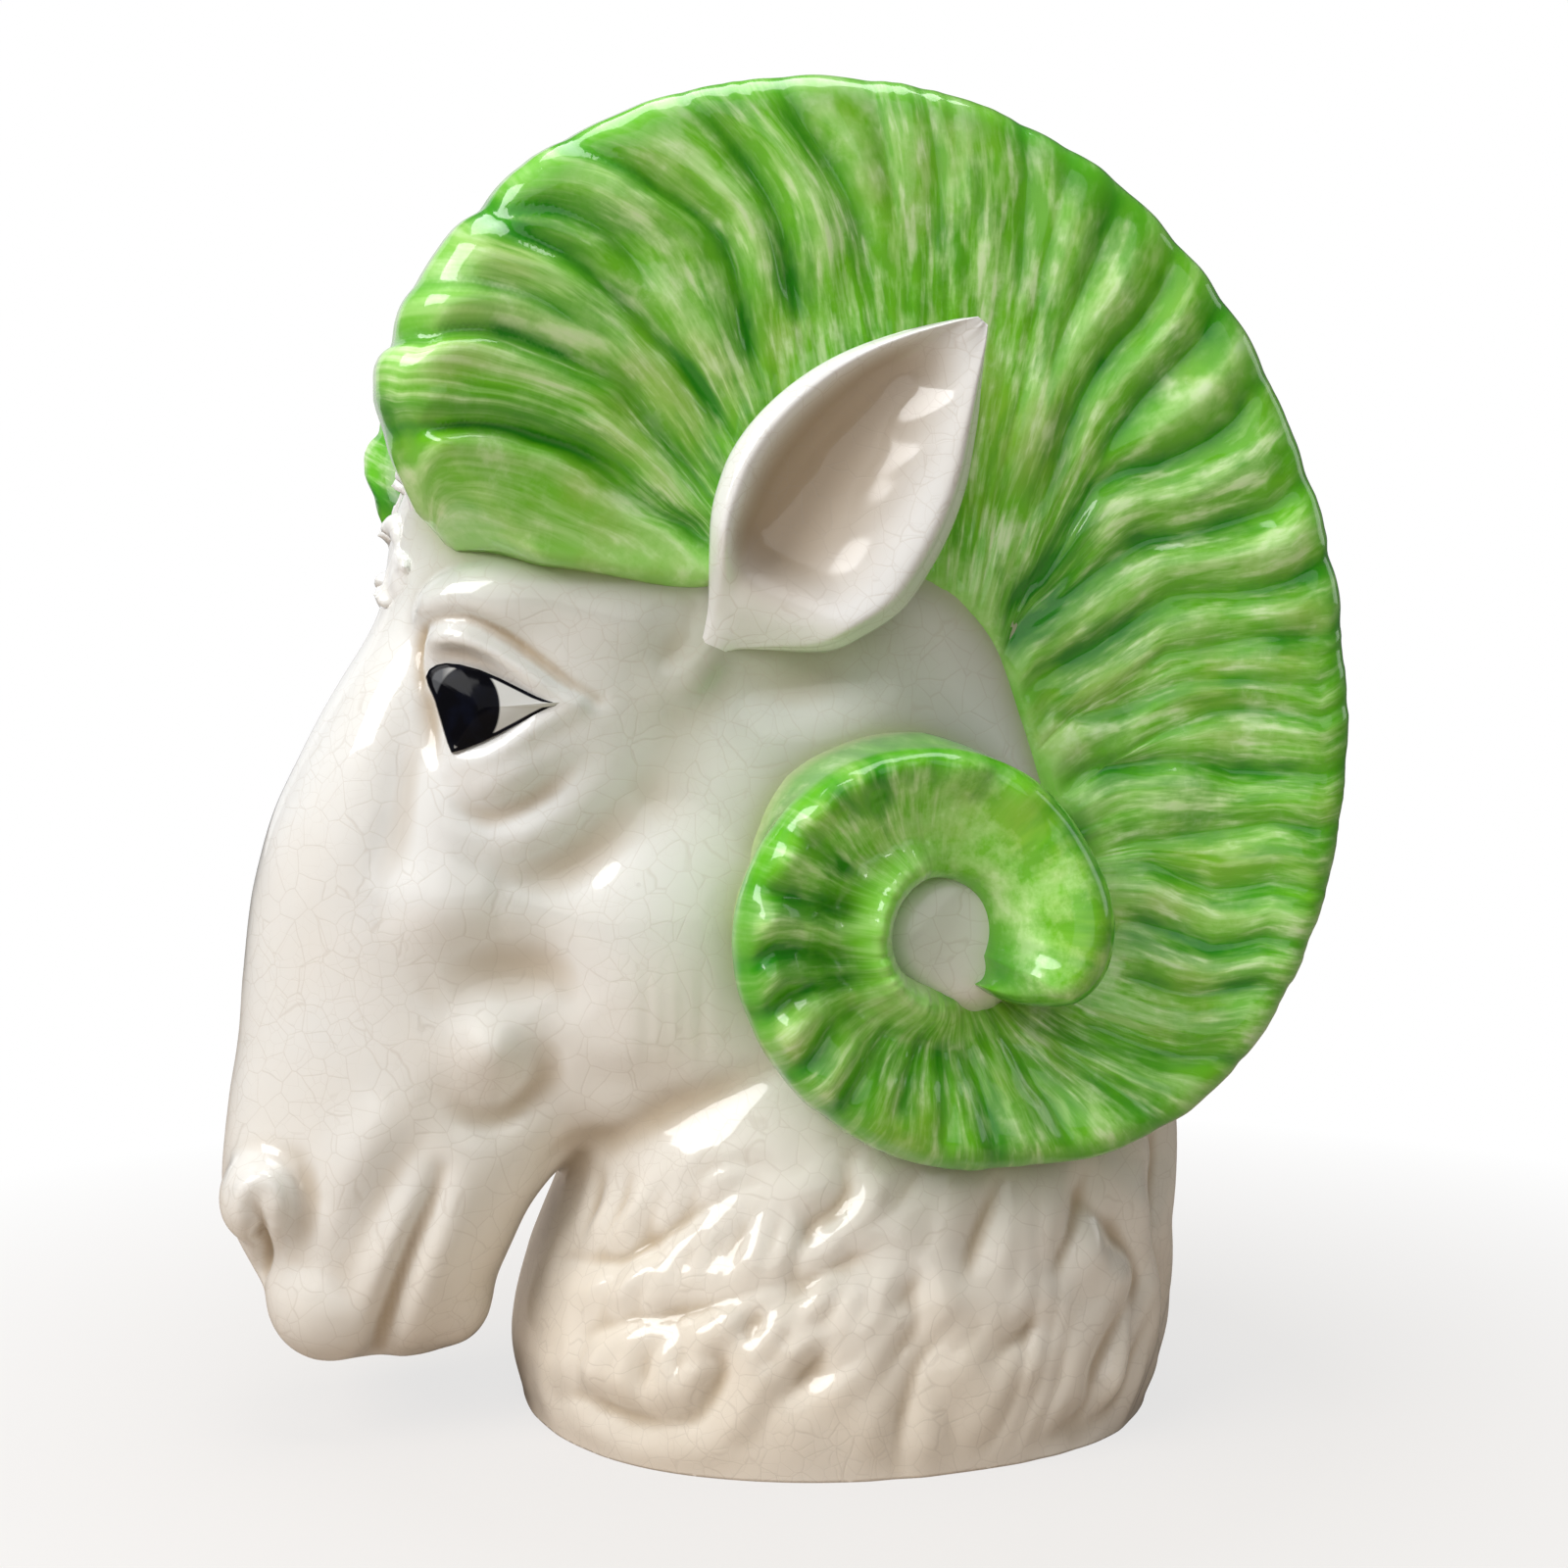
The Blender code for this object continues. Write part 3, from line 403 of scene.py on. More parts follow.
class Clay:
    """The points of a skin with the moves that the marks add up to."""

    def __init__(self, mesh):
        self.points = points_of(mesh)
        self.normals = normals_of(mesh)
        self.half = self.points.copy()
        self.half[:, 0] = np.abs(self.half[:, 0])
        self.move = np.zeros(len(self.points))

    def beside(self, line, reach):
        """Points near a line: their index, their distance from it and their share of its length."""
        near = np.all((self.half > line.min(0) - reach) & (self.half < line.max(0) + reach), axis=1)
        index = np.nonzero(near)[0]
        points = self.half[index]
        best = np.full(len(index), 1e9)
        share = np.zeros(len(index))
        steps = np.linalg.norm(np.diff(line, axis=0), axis=1)
        gone = 0.0
        for a, b, step in zip(line, line[1:], steps):
            t = np.clip((points - a) @ (b - a) / (step * step), 0, 1)
            distance = np.linalg.norm(points - (a + t[:, None] * (b - a)), axis=1)
            closer = distance < best
            best = np.where(closer, distance, best)
            share = np.where(closer, (gone + t * step) / steps.sum(), share)
            gone += step
        return index, best, share

    def press(self, line, width, depth):
        """A soft groove (depth above 0) or a ridge (below 0) along a line, weaker towards its round ends."""
        if len(line) < 2:
            return
        index, distance, share = self.beside(smooth_line(line), 3 * width)
        self.move[index] -= depth * np.exp(-((distance / width) ** 2)) * ends_of(share)

    def valley(self, line, deep, narrow, wide):
        """A soft-sided valley between two swellings, as between two locks of wool."""
        if len(line) < 2:
            return
        index, distance, share = self.beside(smooth_line(line), 3 * wide)
        sharp = np.exp(-((distance / narrow) ** 2))
        broad = np.exp(-((distance / wide) ** 2))
        swell = np.exp(-(((distance - 1.25 * wide) / (0.8 * wide)) ** 2))
        self.move[index] += deep * ends_of(share) * (0.45 * swell - 0.45 * sharp - 0.50 * broad)

    def dab(self, point, radius, depth, flat=2):
        """A round dent, or a swelling where the depth is below 0. A higher flat gives a flatter middle."""
        distance = np.linalg.norm(self.half - np.asarray(point), axis=1)
        self.move -= depth * np.exp(-((distance / radius) ** flat))

    def moved(self):
        return self.points + self.normals * self.move[:, None]


head = Clay(head_mesh)
print("skin points to work on", len(head.points))

# %% Folds of the eye, nose, cheek and mouth
MM = 0.001
PRESSES = [
    ("eye socket", 12.0, 1.6, [(440, 700), (490, 720), (545, 725)]),
    ("upper lid", 2.8, -3.4, [(431, 692), (434, 668), (448, 652), (472, 650), (502, 662), (532, 682),
        (562, 702), (590, 716)]),
    ("lid crease", 2.1, 2.9, [(422, 690), (424, 650), (441, 633), (474, 631), (507, 646), (543, 671),
        (578, 697), (610, 714)]),
    ("brow", 9.0, -3.0, [(430, 622), (448, 600), (490, 590), (540, 594), (600, 622), (665, 650)]),
    ("lower lid", 2.6, -2.4, [(464, 778), (488, 774), (520, 758), (552, 738), (584, 722)]),
    ("bag", 5.5, -2.2, [(478, 800), (512, 790), (550, 768)]),
    ("under the bag", 4.5, 2.7, [(460, 806), (482, 828), (512, 832), (550, 814), (592, 780)]),
    ("nose side", 8.0, 4.2, [(422, 650), (420, 720), (412, 790), (404, 850), (394, 915)]),
    ("inner corner", 3.4, 2.0, [(424, 690), (434, 740), (450, 790)]),
    ("cheek swell", 7.0, -1.0, [(500, 856), (540, 852), (575, 836)]),
    ("cheek hollow", 8.0, 3.2, [(498, 880), (545, 890), (595, 872), (650, 820)]),
    ("cheek crest", 10.0, -3.0, [(390, 930), (440, 926), (510, 930)]),
    ("above the knob", 9.0, 3.4, [(450, 1005), (500, 988), (560, 994), (600, 1040)]),
    ("below the knob", 5.5, 3.0, [(455, 1118), (485, 1140), (520, 1138), (548, 1112), (556, 1080)]),
    ("lip fold", 7.0, -2.2, [(405, 1130), (372, 1172), (342, 1232)]),
    ("lip hollow", 6.0, 1.8, [(440, 1148), (402, 1198), (370, 1256), (348, 1312)]),
    ("mouth", 3.0, 4.6, [(450, 1196), (440, 1228), (421, 1270), (404, 1315), (394, 1350), (386, 1384),
        (384, 1400)]),
    ("upper lip edge", 5.5, -2.2, [(428, 1206), (406, 1262), (384, 1315), (366, 1366)]),
    ("lower lip edge", 5.5, -2.2, [(474, 1206), (454, 1262), (434, 1315), (414, 1370)]),
    ("jaw line", 5.0, 2.8, [(560, 1185), (620, 1162), (672, 1140), (735, 1112), (800, 1084)]),
    ("jaw hollow", 8.0, 2.0, [(580, 1092), (640, 1110), (710, 1096)]),
    ("ear stem", 6.0, -3.2, [(735, 628), (726, 660), (706, 688), (676, 704)]),
    ("in front of the ear", 6.0, 1.2, [(700, 640), (688, 664), (664, 680)]),
    ("under the ear", 8.0, 2.6, [(752, 694), (810, 700), (880, 684)]),
    ("nostril wing", 2.8, -2.0, [(244, 1240), (252, 1212), (270, 1203), (285, 1218), (288, 1246)]),
    ("nostril", 2.2, 5.4, [(259, 1232), (264, 1256), (265, 1300)]),
    ("behind the nostril", 5.0, 1.6, [(306, 1186), (316, 1230), (304, 1280)]),
]
CHEEK_KNOB, EYE_SOCKET, COIL_HOLE = (502, 1070), (484, 722), (963, 955)
JAW_LINES = (660, 678, 696, 714)
SKIN_GRAIN = 0.012
for _, wide, deep, marks in PRESSES:
    head.press(on_skin(marks), wide * MM, deep * MM)
head.dab(on_skin([CHEEK_KNOB])[0], 7.5 * MM, -4.2 * MM)
for column in JAW_LINES:
    head.press(on_skin([(column, 985), (column + 1, 1035), (column + 2, 1090)]), 1.8 * MM, 0.55 * MM)
grain_x, grain_y, grain_z = head.half.T / SKIN_GRAIN
head.move += 0.18 * MM * uneven(grain_x, grain_y, grain_z, seed=61)
head.dab(on_skin([EYE_SOCKET])[0], 5.5 * MM, 2.0 * MM)
head.dab(on_skin([COIL_HOLE])[0], 20.0 * MM, -16.5 * MM, flat=8)
print("deepest press and highest rise in mm", np.round((-head.move.min() / MM, head.move.max() / MM), 2))

# %% Locks of wool on the neck
LOCKS = [
    [(765, 1206), (737, 1220), (691, 1249), (663, 1266), (629, 1283), (577, 1280)],
    [(806, 1305), (771, 1317), (726, 1333), (686, 1340), (646, 1346), (600, 1357)],
    [(740, 1406), (729, 1429), (703, 1449), (657, 1451), (623, 1440), (594, 1426), (566, 1426)],
    [(851, 1232), (829, 1251), (812, 1285), (806, 1310)],
    [(893, 1272), (863, 1286), (835, 1302), (812, 1330)],
    [(866, 1188), (863, 1222), (840, 1257)],
    [(931, 1318), (934, 1349), (914, 1383), (890, 1424)],
    [(978, 1346), (940, 1389), (922, 1440), (914, 1492)],
    [(848, 1370), (834, 1389), (811, 1418)],
    [(782, 1338), (771, 1349), (760, 1372)],
    [(1064, 1348), (1046, 1360), (1016, 1384)],
    [(1166, 1300), (1143, 1349), (1123, 1394), (1108, 1440), (1066, 1470)],
    [(1173, 1330), (1156, 1384), (1138, 1430), (1096, 1464)],
    [(686, 1366), (663, 1383), (655, 1430)],
    [(726, 1377), (736, 1400), (708, 1440)],
    [(1020, 1210), (1000, 1260), (985, 1300)],
    [(1110, 1200), (1098, 1250), (1075, 1300)],
]
STRANDS = [
    [(614, 1204), (606, 1234), (591, 1264)],
    [(643, 1204), (634, 1234), (611, 1270)],
    [(691, 1200), (669, 1228), (650, 1264)],
    [(722, 1196), (706, 1222), (690, 1244)],
    [(712, 1264), (700, 1290), (686, 1316)],
    [(742, 1252), (724, 1290), (712, 1318)],
    [(768, 1238), (748, 1280), (738, 1312)],
    [(800, 1232), (790, 1262), (776, 1300)],
    [(640, 1300), (622, 1318), (612, 1346)],
    [(672, 1296), (655, 1318), (646, 1340)],
    [(866, 1300), (852, 1330), (838, 1356)],
    [(890, 1296), (880, 1330), (866, 1362)],
    [(820, 1336), (802, 1362), (792, 1386)],
    [(700, 1372), (690, 1400), (688, 1430)],
    [(640, 1372), (626, 1396), (620, 1424)],
    [(600, 1372), (590, 1396), (588, 1420)],
]
BEHIND = [
    [(0.050, 0.090), (0.044, 0.066), (0.050, 0.044), (0.040, 0.018)],
    [(0.030, 0.098), (0.022, 0.074), (0.028, 0.048), (0.018, 0.022)],
    [(0.010, 0.104), (0.004, 0.080), (0.012, 0.056), (0.004, 0.030)],
    [(0.064, 0.060), (0.058, 0.040), (0.062, 0.022)],
]
LOCK_FORM = (2.6 * MM, 2.0 * MM, 5.6 * MM)
STRAND_FORM = (1.2 * MM, 1.6 * MM, 3.8 * MM)
BEHIND_FORM = (3.4 * MM, 2.3 * MM, 7.5 * MM)
NECK_RADIUS = 0.080
for marks in LOCKS:
    head.valley(on_skin(marks), *LOCK_FORM)
for marks in STRANDS:
    head.valley(on_skin(marks), *STRAND_FORM)
for marks in BEHIND:
    head.valley(from_behind(marks), *BEHIND_FORM)
around_neck = np.arctan2(head.half[:, 0], -head.half[:, 1]) * NECK_RADIUS
lift = head.half[:, 2]
wool_here = (1 - change(lift, 0.066, 0.096)) * change(around_neck, 0.030, 0.055) * change(lift, 0.000, 0.010)
smooth_patch = np.exp(-(((around_neck - 0.165) / 0.030) ** 2)) * change(lift, 0.020, 0.050)
slant = 0.62 + 0.5 * change(around_neck, 0.13, 0.20)
along = np.cos(slant) * around_neck + np.sin(slant) * lift
over = np.cos(slant) * lift - np.sin(slant) * around_neck
bend = 0.45 * uneven(around_neck / 0.024, lift / 0.020, 4.0, seed=37)
waves = 2 * np.abs(uneven(along / 0.032 + bend, over / 0.0120 + bend, 3.0, seed=31)) - 0.6
ripples = np.abs(uneven(along / 0.014, over / 0.0042, 8.0, seed=35)) - 0.3
head.move += wool_here * (1 - 0.7 * smooth_patch) * (0.8 * MM * waves + 0.15 * MM * ripples)
print("locks", len(LOCKS) + len(BEHIND), "strands", len(STRANDS))

# %% The worked skin, hollowed for planting
write_points(head_mesh, head.moved())
worked = put("clay", head_mesh)
settle = worked.modifiers.new("settle", "SMOOTH")
settle.factor = 0.5
settle.iterations = 3

LIP_DROP, LIP_ROUND, ABOVE_RIM = 0.0040, 0.0035, 0.02
NOSE_TOP = 0.230
STEPS = 40
lip = np.array((LIP_DROP, 0.0022, 0.0010, 0.0003, 0.0))
lip_inset = WALL - LIP_ROUND * (1 - np.sqrt(1 - (1 - np.minimum(lip / LIP_DROP, 1)) ** 2))
heights = np.concatenate((np.linspace(FLOOR, RIM - 0.0045, STEPS), RIM - lip, [RIM + ABOVE_RIM]))
insets = np.concatenate((np.full(STEPS, WALL), lip_inset, [WALL - LIP_ROUND]))
carried_up = NECK + [(RIM + ABOVE_RIM, *NECK[-1][1:])]
hollow = put("hollow", skin("hollow", ovals(carried_up, heights, NECK_FULLNESS, inset=insets)))
nose_heights = np.linspace(LIPS + 1.5 * FACE_WALL, NOSE_TOP, STEPS)
nose_rings = ovals(FACE, nose_heights, FACE_FULLNESS, taper=FACE_TAPER, inset=FACE_WALL)
nose_hollow = put("nose_hollow", skin("nose_hollow", nose_rings))
ground = bmesh.new()
bmesh.ops.create_cube(ground, size=0.5, matrix=Matrix.Translation((0, 0, -0.25)))
level = put("ground", from_clay("ground", ground))
for cutter in (level, hollow, nose_hollow):
    scoop = worked.modifiers.new(cutter.name, "BOOLEAN")
    scoop.operation = "DIFFERENCE"
    scoop.solver = "EXACT"
    scoop.object = cutter
shell_mesh = finished(worked)
for cutter in (level, hollow, nose_hollow):
    bpy.data.objects.remove(cutter)
body = put("head_and_neck", shell_mesh)
clay_tree = tree_of(shell_mesh)


def inside_wall(points):
    """The least x that keeps points of a left piece out of the planting hollow: the middle of the wall."""
    least = np.zeros(len(points))
    for k, (_, y, z) in enumerate(points):
        spot, normal = clay_tree.ray_cast((0.0, y, z), (1.0, 0.0, 0.0))[:2]
        if spot is not None and normal.x < 0:
            least[k] = spot.x + WALL / 2
    return least


print("head and neck", len(shell_mesh.polygons), "faces")

# %% [markdown]
# ## Horns
# Each horn is one broad band that starts on the forehead, sweeps over the crown, comes down behind the
# cheek and coils forward. A curve with a bevel can't change from a wide crescent to a tight coil, so the
# band is a table of turns about the eye of the coil: at each angle, how far its inner and outer edge lie.
# Valleys between its rolls run across the band. Its hidden side stops inside the wall of the head, so that
# none of it shows in the planting hollow.

# %% Turns of the band
COIL_EYE = np.array((0.0040, 0.1270))
HORN_START = 140.5
TURNS = [
    (HORN_START, 0.1420, 0.1540),
    (138.7, 0.1350, 0.1680),
    (136.5, 0.1240, 0.1785),
    (126.0, 0.1000, 0.1940),
    (112.0, 0.0900, 0.2025),
    (95.0, 0.0840, 0.2020),
    (78.0, 0.0730, 0.1910),
    (62.0, 0.0560, 0.1695),
    (45.0, 0.0460, 0.1452),
    (29.0, 0.0430, 0.1258),
    (0.0, 0.0395, 0.1018),
    (-23.0, 0.0345, 0.0885),
    (-41.0, 0.0210, 0.0770),
    (-55.0, 0.0142, 0.0695),
    (-68.0, 0.0130, 0.0625),
    (-112.0, 0.0132, 0.0530),
    (-145.0, 0.0136, 0.0510),
    (-180.0, 0.0132, 0.0512),
    (-225.0, 0.0126, 0.0475),
    (-268.0, 0.0120, 0.0425),
    (-300.0, 0.0118, 0.0400),
    (-330.0, 0.0118, 0.0395),
    (-355.0, 0.0118, 0.0400),
    (-375.0, 0.0120, 0.0390),
    (-388.0, 0.0122, 0.0361),
    (-405.0, 0.0128, 0.0275),
    (-418.0, 0.0138, 0.0170),
]
STATIONS, ACROSS, WALL_STEPS, BACK_STEPS = 760, 74, 9, 14
fine = np.linspace(TURNS[0][0], TURNS[-1][0], 6000)
outer_edge = through(TURNS, fine)[1]
run = np.concatenate(([0.0], np.cumsum(np.radians(-np.diff(fine)) * (outer_edge[1:] + outer_edge[:-1]) / 2)))
stations = np.linspace(0, run[-1], STATIONS)
theta = np.interp(stations, run, fine)
share = np.linspace(0, 1, ACROSS)
T, A = np.meshgrid(share, theta)
S = np.broadcast_to(stations[:, None], A.shape)
inner, outer = through(TURNS, theta)
width = outer - inner
W = np.broadcast_to(width[:, None], A.shape)
R = inner[:, None] + T * W
print("horn length along its outer edge", round(run[-1], 3), "m")

# %% How far the band stands out, from its inner to its outer edge
STAND_SHARES = (0.0, 0.15, 0.35, 0.60, 0.85, 1.0)
STANDS = [
    (HORN_START, 0.0590, 0.0600, 0.0640, 0.0695, 0.0735, 0.0740),
    (60.0, 0.0590, 0.0600, 0.0640, 0.0695, 0.0735, 0.0740),
    (0.0, 0.0595, 0.0605, 0.0645, 0.0695, 0.0740, 0.0745),
    (-50.0, 0.0630, 0.0660, 0.0665, 0.0715, 0.0765, 0.0770),
    (-90.0, 0.0740, 0.0790, 0.0705, 0.0770, 0.0800, 0.0790),
    (-135.0, 0.0800, 0.0860, 0.0745, 0.0825, 0.0855, 0.0845),
    (-180.0, 0.0830, 0.0885, 0.0775, 0.0850, 0.0890, 0.0885),
    (-225.0, 0.0830, 0.0868, 0.0800, 0.0850, 0.0912, 0.0918),
    (-268.0, 0.0795, 0.0812, 0.0830, 0.0865, 0.0925, 0.0935),
    (-300.0, 0.0785, 0.0825, 0.0865, 0.0905, 0.0935, 0.0925),
    (-330.0, 0.0785, 0.0850, 0.0915, 0.0960, 0.0960, 0.0910),
    (-360.0, 0.0785, 0.0875, 0.0950, 0.0990, 0.0970, 0.0890),
    (-390.0, 0.0790, 0.0875, 0.0945, 0.0980, 0.0955, 0.0880),
    (-424.0, 0.0760, 0.0805, 0.0840, 0.0860, 0.0850, 0.0820),
]
plain_face = through(np.column_stack((STAND_SHARES, through(STANDS, theta))), share)
for _ in range(8):
    plain_face[:, 1:-1] = 0.5 * plain_face[:, 1:-1] + 0.25 * (plain_face[:, 2:] + plain_face[:, :-2])
EDGE_ROUND, INNER_ROUND = 0.0085, 0.0045
HORN_BACK, TIP_BACK = 0.0460, 0.0625
forehead = change(A, 115, HORN_START)
edge_radius = np.minimum(EDGE_ROUND + 0.0135 * forehead + 0.0045 * change(A, -290, -330), W / 2)
inner_radius = np.minimum(INNER_ROUND, W / 4)
front_end = change(theta, 115, HORN_START)
behind_end = change(theta, 75, 40)
on_top = change(theta, -285, -312)
back = HORN_BACK - 0.0240 * front_end - 0.0220 * behind_end
back = back + (TIP_BACK + 0.0070 * change(theta, -370, -400) - back) * on_top
FLARE_ANGLES = (75, 40, -50, -110, -140, -200, -228, -268, -300, -330)
FLARES = (0.0045, 0.0120, 0.0120, 0.0040, 0.0065, 0.0065, -0.0010, -0.0045, -0.0020, 0.0)
flare = np.interp(-theta, [-angle for angle in FLARE_ANGLES], FLARES)
flare = np.where(theta > 75, 0.0045 + 0.0075 * front_end, flare)
swell_in = 1 - 0.6 * np.clip(1 - stations / 0.014, 0, 1) ** 2
closing = np.sqrt(np.clip((stations[-1] - stations) / 0.012, 0, 1))


def rounding(distance, radius):
    """How far a rounded edge lies below its face, at a distance from the edge."""
    short = 1 - np.clip(distance / radius, 0, 1)
    return radius * (1 - np.sqrt(np.maximum(1 - short * short, 0)))


def horn_rings(relief):
    """Closed rings along the left horn, with this relief on its face."""
    face = plain_face + relief - rounding(T * W, inner_radius) - rounding((1 - T) * W, edge_radius)
    far = R + (0.30 + 0.45 * forehead) * relief * change(T, 0.80, 1.0)
    columns = [(face[:, j], far[:, j]) for j in range(ACROSS)]
    fall = np.linspace(0, 1, WALL_STEPS + 1)[1:]
    foot = outer - flare + 0.3 * relief[:, -1]
    for f in fall:
        bow = 1 - (1 - f) ** 2
        columns.append((face[:, -1] + (back - face[:, -1]) * f, far[:, -1] + (foot - far[:, -1]) * bow))
    for f in np.linspace(0, 1, BACK_STEPS + 2)[1:-1]:
        columns.append((back, foot + (inner - foot) * f))
    for f in fall * 0.985:
        columns.append((back + (face[:, 0] - back) * f, inner))
    x = np.stack([column[0] for column in columns], axis=1)
    r = np.stack([column[1] for column in columns], axis=1)
    middle = ((inner + outer) / 2)[:, None]
    r = middle + (r - middle) * (0.25 + 0.75 * closing)[:, None]
    x = back[:, None] + (x - back[:, None]) * (swell_in * (0.35 + 0.65 * closing))[:, None]
    turn = np.radians(theta)[:, None]
    rings = np.stack((x, COIL_EYE[0] + r * np.cos(turn), COIL_EYE[1] + r * np.sin(turn)), axis=-1)
    least = inside_wall(rings.reshape(-1, 3)).reshape(x.shape)
    foot_at = ACROSS + WALL_STEPS - 1
    inner_at = ACROSS + WALL_STEPS + BACK_STEPS
    outer_wall, inner_wall = slice(ACROSS, foot_at + 1), slice(inner_at, None)
    for wall, edge, base in ((outer_wall, ACROSS - 1, foot_at), (inner_wall, 0, inner_at)):
        top, low = x[:, edge], x[:, base].copy()
        lifted = np.clip(least[:, base], low, np.maximum(low, top - 0.001))
        shorter = (top - lifted) / np.maximum(top - low, 0.0001)
        rings[:, wall, 0] = top[:, None] - (top[:, None] - x[:, wall]) * shorter[:, None]
    rings[:, foot_at + 1:inner_at, 0] = np.maximum(x, least)[:, foot_at + 1:inner_at]
    return rings


bare = skin("bare_horn", horn_rings(np.zeros_like(T)))
bare_tree = tree_of(bare)
print("band width", round(width.max(), 4), "to", round(width.min(), 4), "m")

# %% Valleys between the rolls of the horn
SWEEP_VALLEYS = [
    (3.4, [(402, 436), (425, 437), (450, 434), (490, 430), (525, 436), (550, 445), (585, 456),
        (620, 476), (650, 503), (675, 522), (704, 535)]),
    (3.0, [(400, 345), (440, 340), (475, 333), (500, 333), (525, 340), (550, 351), (600, 374),
        (640, 393), (664, 425), (690, 458), (710, 480)]),
    (1.2, [(424, 292), (450, 287), (480, 286), (510, 292), (545, 305), (580, 325), (620, 350)]),
    (3.0, [(502, 222), (530, 236), (560, 249), (580, 258), (600, 272), (625, 295), (650, 318),
        (675, 345), (700, 371), (722, 402)]),
    (2.2, [(508, 216), (525, 211), (550, 209), (575, 214), (600, 226), (625, 241), (645, 262)]),
    (2.8, [(588, 150), (625, 160), (650, 172), (675, 190), (700, 206), (725, 223), (742, 246),
        (752, 275), (758, 306), (765, 340)]),
    (2.6, [(704, 104), (730, 126), (750, 145), (768, 170), (785, 196), (797, 223), (803, 250), (808, 282)]),
    (2.4, [(806, 95), (822, 125), (840, 150), (856, 178), (870, 205), (880, 237)]),
    (1.2, [(890, 95), (897, 125), (903, 160), (908, 200)]),
    (1.0, [(945, 100), (953, 140), (958, 180), (960, 215)]),
    (1.6, [(1045, 142), (1050, 175), (1050, 205), (1046, 235), (1042, 268)]),
    (1.3, [(1092, 162), (1085, 195), (1080, 230), (1072, 265), (1062, 310)]),
    (1.6, [(1140, 205), (1124, 248), (1108, 285), (1095, 316), (1082, 352)]),
    (2.6, [(1200, 262), (1185, 300), (1163, 330), (1140, 352), (1120, 380), (1105, 408), (1092, 440),
        (1080, 478)]),
    (2.4, [(1245, 318), (1225, 346), (1205, 367), (1185, 388), (1165, 408), (1148, 430), (1130, 452)]),
    (2.4, [(1288, 392), (1262, 428), (1240, 445), (1212, 460), (1185, 472), (1150, 480), (1118, 496),
        (1098, 530), (1085, 556), (1065, 588), (1040, 610)]),
    (2.4, [(1330, 490), (1300, 518), (1270, 528), (1238, 538), (1205, 546), (1170, 552), (1145, 565),
        (1118, 583), (1092, 605), (1065, 625), (1038, 645)]),
    (2.4, [(1352, 575), (1320, 592), (1290, 600), (1258, 604), (1225, 605), (1195, 609), (1172, 622),
        (1145, 641), (1115, 661), (1085, 677), (1058, 690)]),
    (2.0, [(1358, 648), (1325, 650), (1290, 650), (1255, 655), (1220, 660), (1190, 664)]),
    (1.8, [(1345, 698), (1300, 695), (1250, 695), (1205, 699), (1170, 712), (1140, 724), (1105, 731),
        (1070, 728)]),
    (1.8, [(1348, 737), (1300, 728), (1265, 726), (1238, 729), (1215, 738), (1185, 748)]),
    (2.0, [(1350, 790), (1295, 788), (1260, 787), (1235, 780), (1200, 776), (1165, 778), (1130, 781),
        (1108, 787)]),
    (1.5, [(1345, 846), (1300, 838), (1255, 845), (1225, 850), (1190, 855), (1165, 856)]),
    (1.8, [(1338, 908), (1300, 900), (1270, 906), (1240, 908), (1205, 896), (1175, 885)]),
    (2.0, [(1325, 965), (1290, 958), (1260, 965), (1235, 967), (1210, 958), (1185, 948), (1165, 940)]),
    (1.6, [(1310, 1008), (1285, 1005), (1255, 1009), (1225, 1014), (1195, 1010), (1165, 1000)]),
    (1.8, [(1265, 1085), (1235, 1080), (1200, 1080), (1170, 1071), (1145, 1062), (1115, 1049)]),
    (1.6, [(1180, 1142), (1155, 1123), (1130, 1106), (1105, 1091), (1085, 1078)]),
    (1.7, [(1085, 1152), (1072, 1128), (1055, 1108), (1042, 1086), (1032, 1070)]),
    (1.7, [(1012, 1155), (1003, 1122), (993, 1096), (985, 1074)]),
]
COIL_VALLEYS = [
    (1.8, [(966, 1152), (962, 1115), (958, 1075)]),
    (2.0, [(922, 1130), (926, 1100), (932, 1080), (940, 1062)]),
    (2.4, [(872, 1112), (882, 1094), (891, 1074), (903, 1055)]),
    (3.0, [(828, 1085), (838, 1072), (846, 1055), (856, 1041), (872, 1030)]),
    (3.2, [(782, 1038), (790, 1031), (808, 1016), (830, 1008), (852, 1003), (866, 1002)]),
    (3.2, [(770, 984), (780, 977), (792, 970), (812, 968), (836, 970), (856, 976)]),
    (3.2, [(768, 902), (790, 909), (815, 915), (840, 920), (858, 926)]),
    (1.8, [(800, 842), (825, 855), (845, 870), (862, 886)]),
    (2.2, [(853, 804), (862, 817), (871, 829)]),
    (2.0, [(893, 778), (899, 797), (905, 814)]),
    (1.6, [(926, 774), (928, 786), (929, 797)]),
    (1.2, [(957, 772), (956, 784), (954, 796)]),
    (1.4, [(1019, 784), (1010, 800), (1001, 814)]),
]


def along_valley(line, coiled):
    """A valley's angle about the coil's eye, and its share of the band's width, from inside out."""
    found = []
    for column, row in line:
        hit = bare_tree.ray_cast(STAND, sight(column, row).normalized())[0]
        if hit is None:
            continue
        y, z = hit.y - COIL_EYE[0], hit.z - COIL_EYE[1]
        angle = math.degrees(math.atan2(z, y))
        if coiled and angle > 0:
            angle -= 360
        low, high = through(TURNS, angle)
        found.append(((math.hypot(y, z) - low[0]) / (high[0] - low[0]), angle))
    found = np.array(found)
    return found[np.argsort(found[:, 0])]


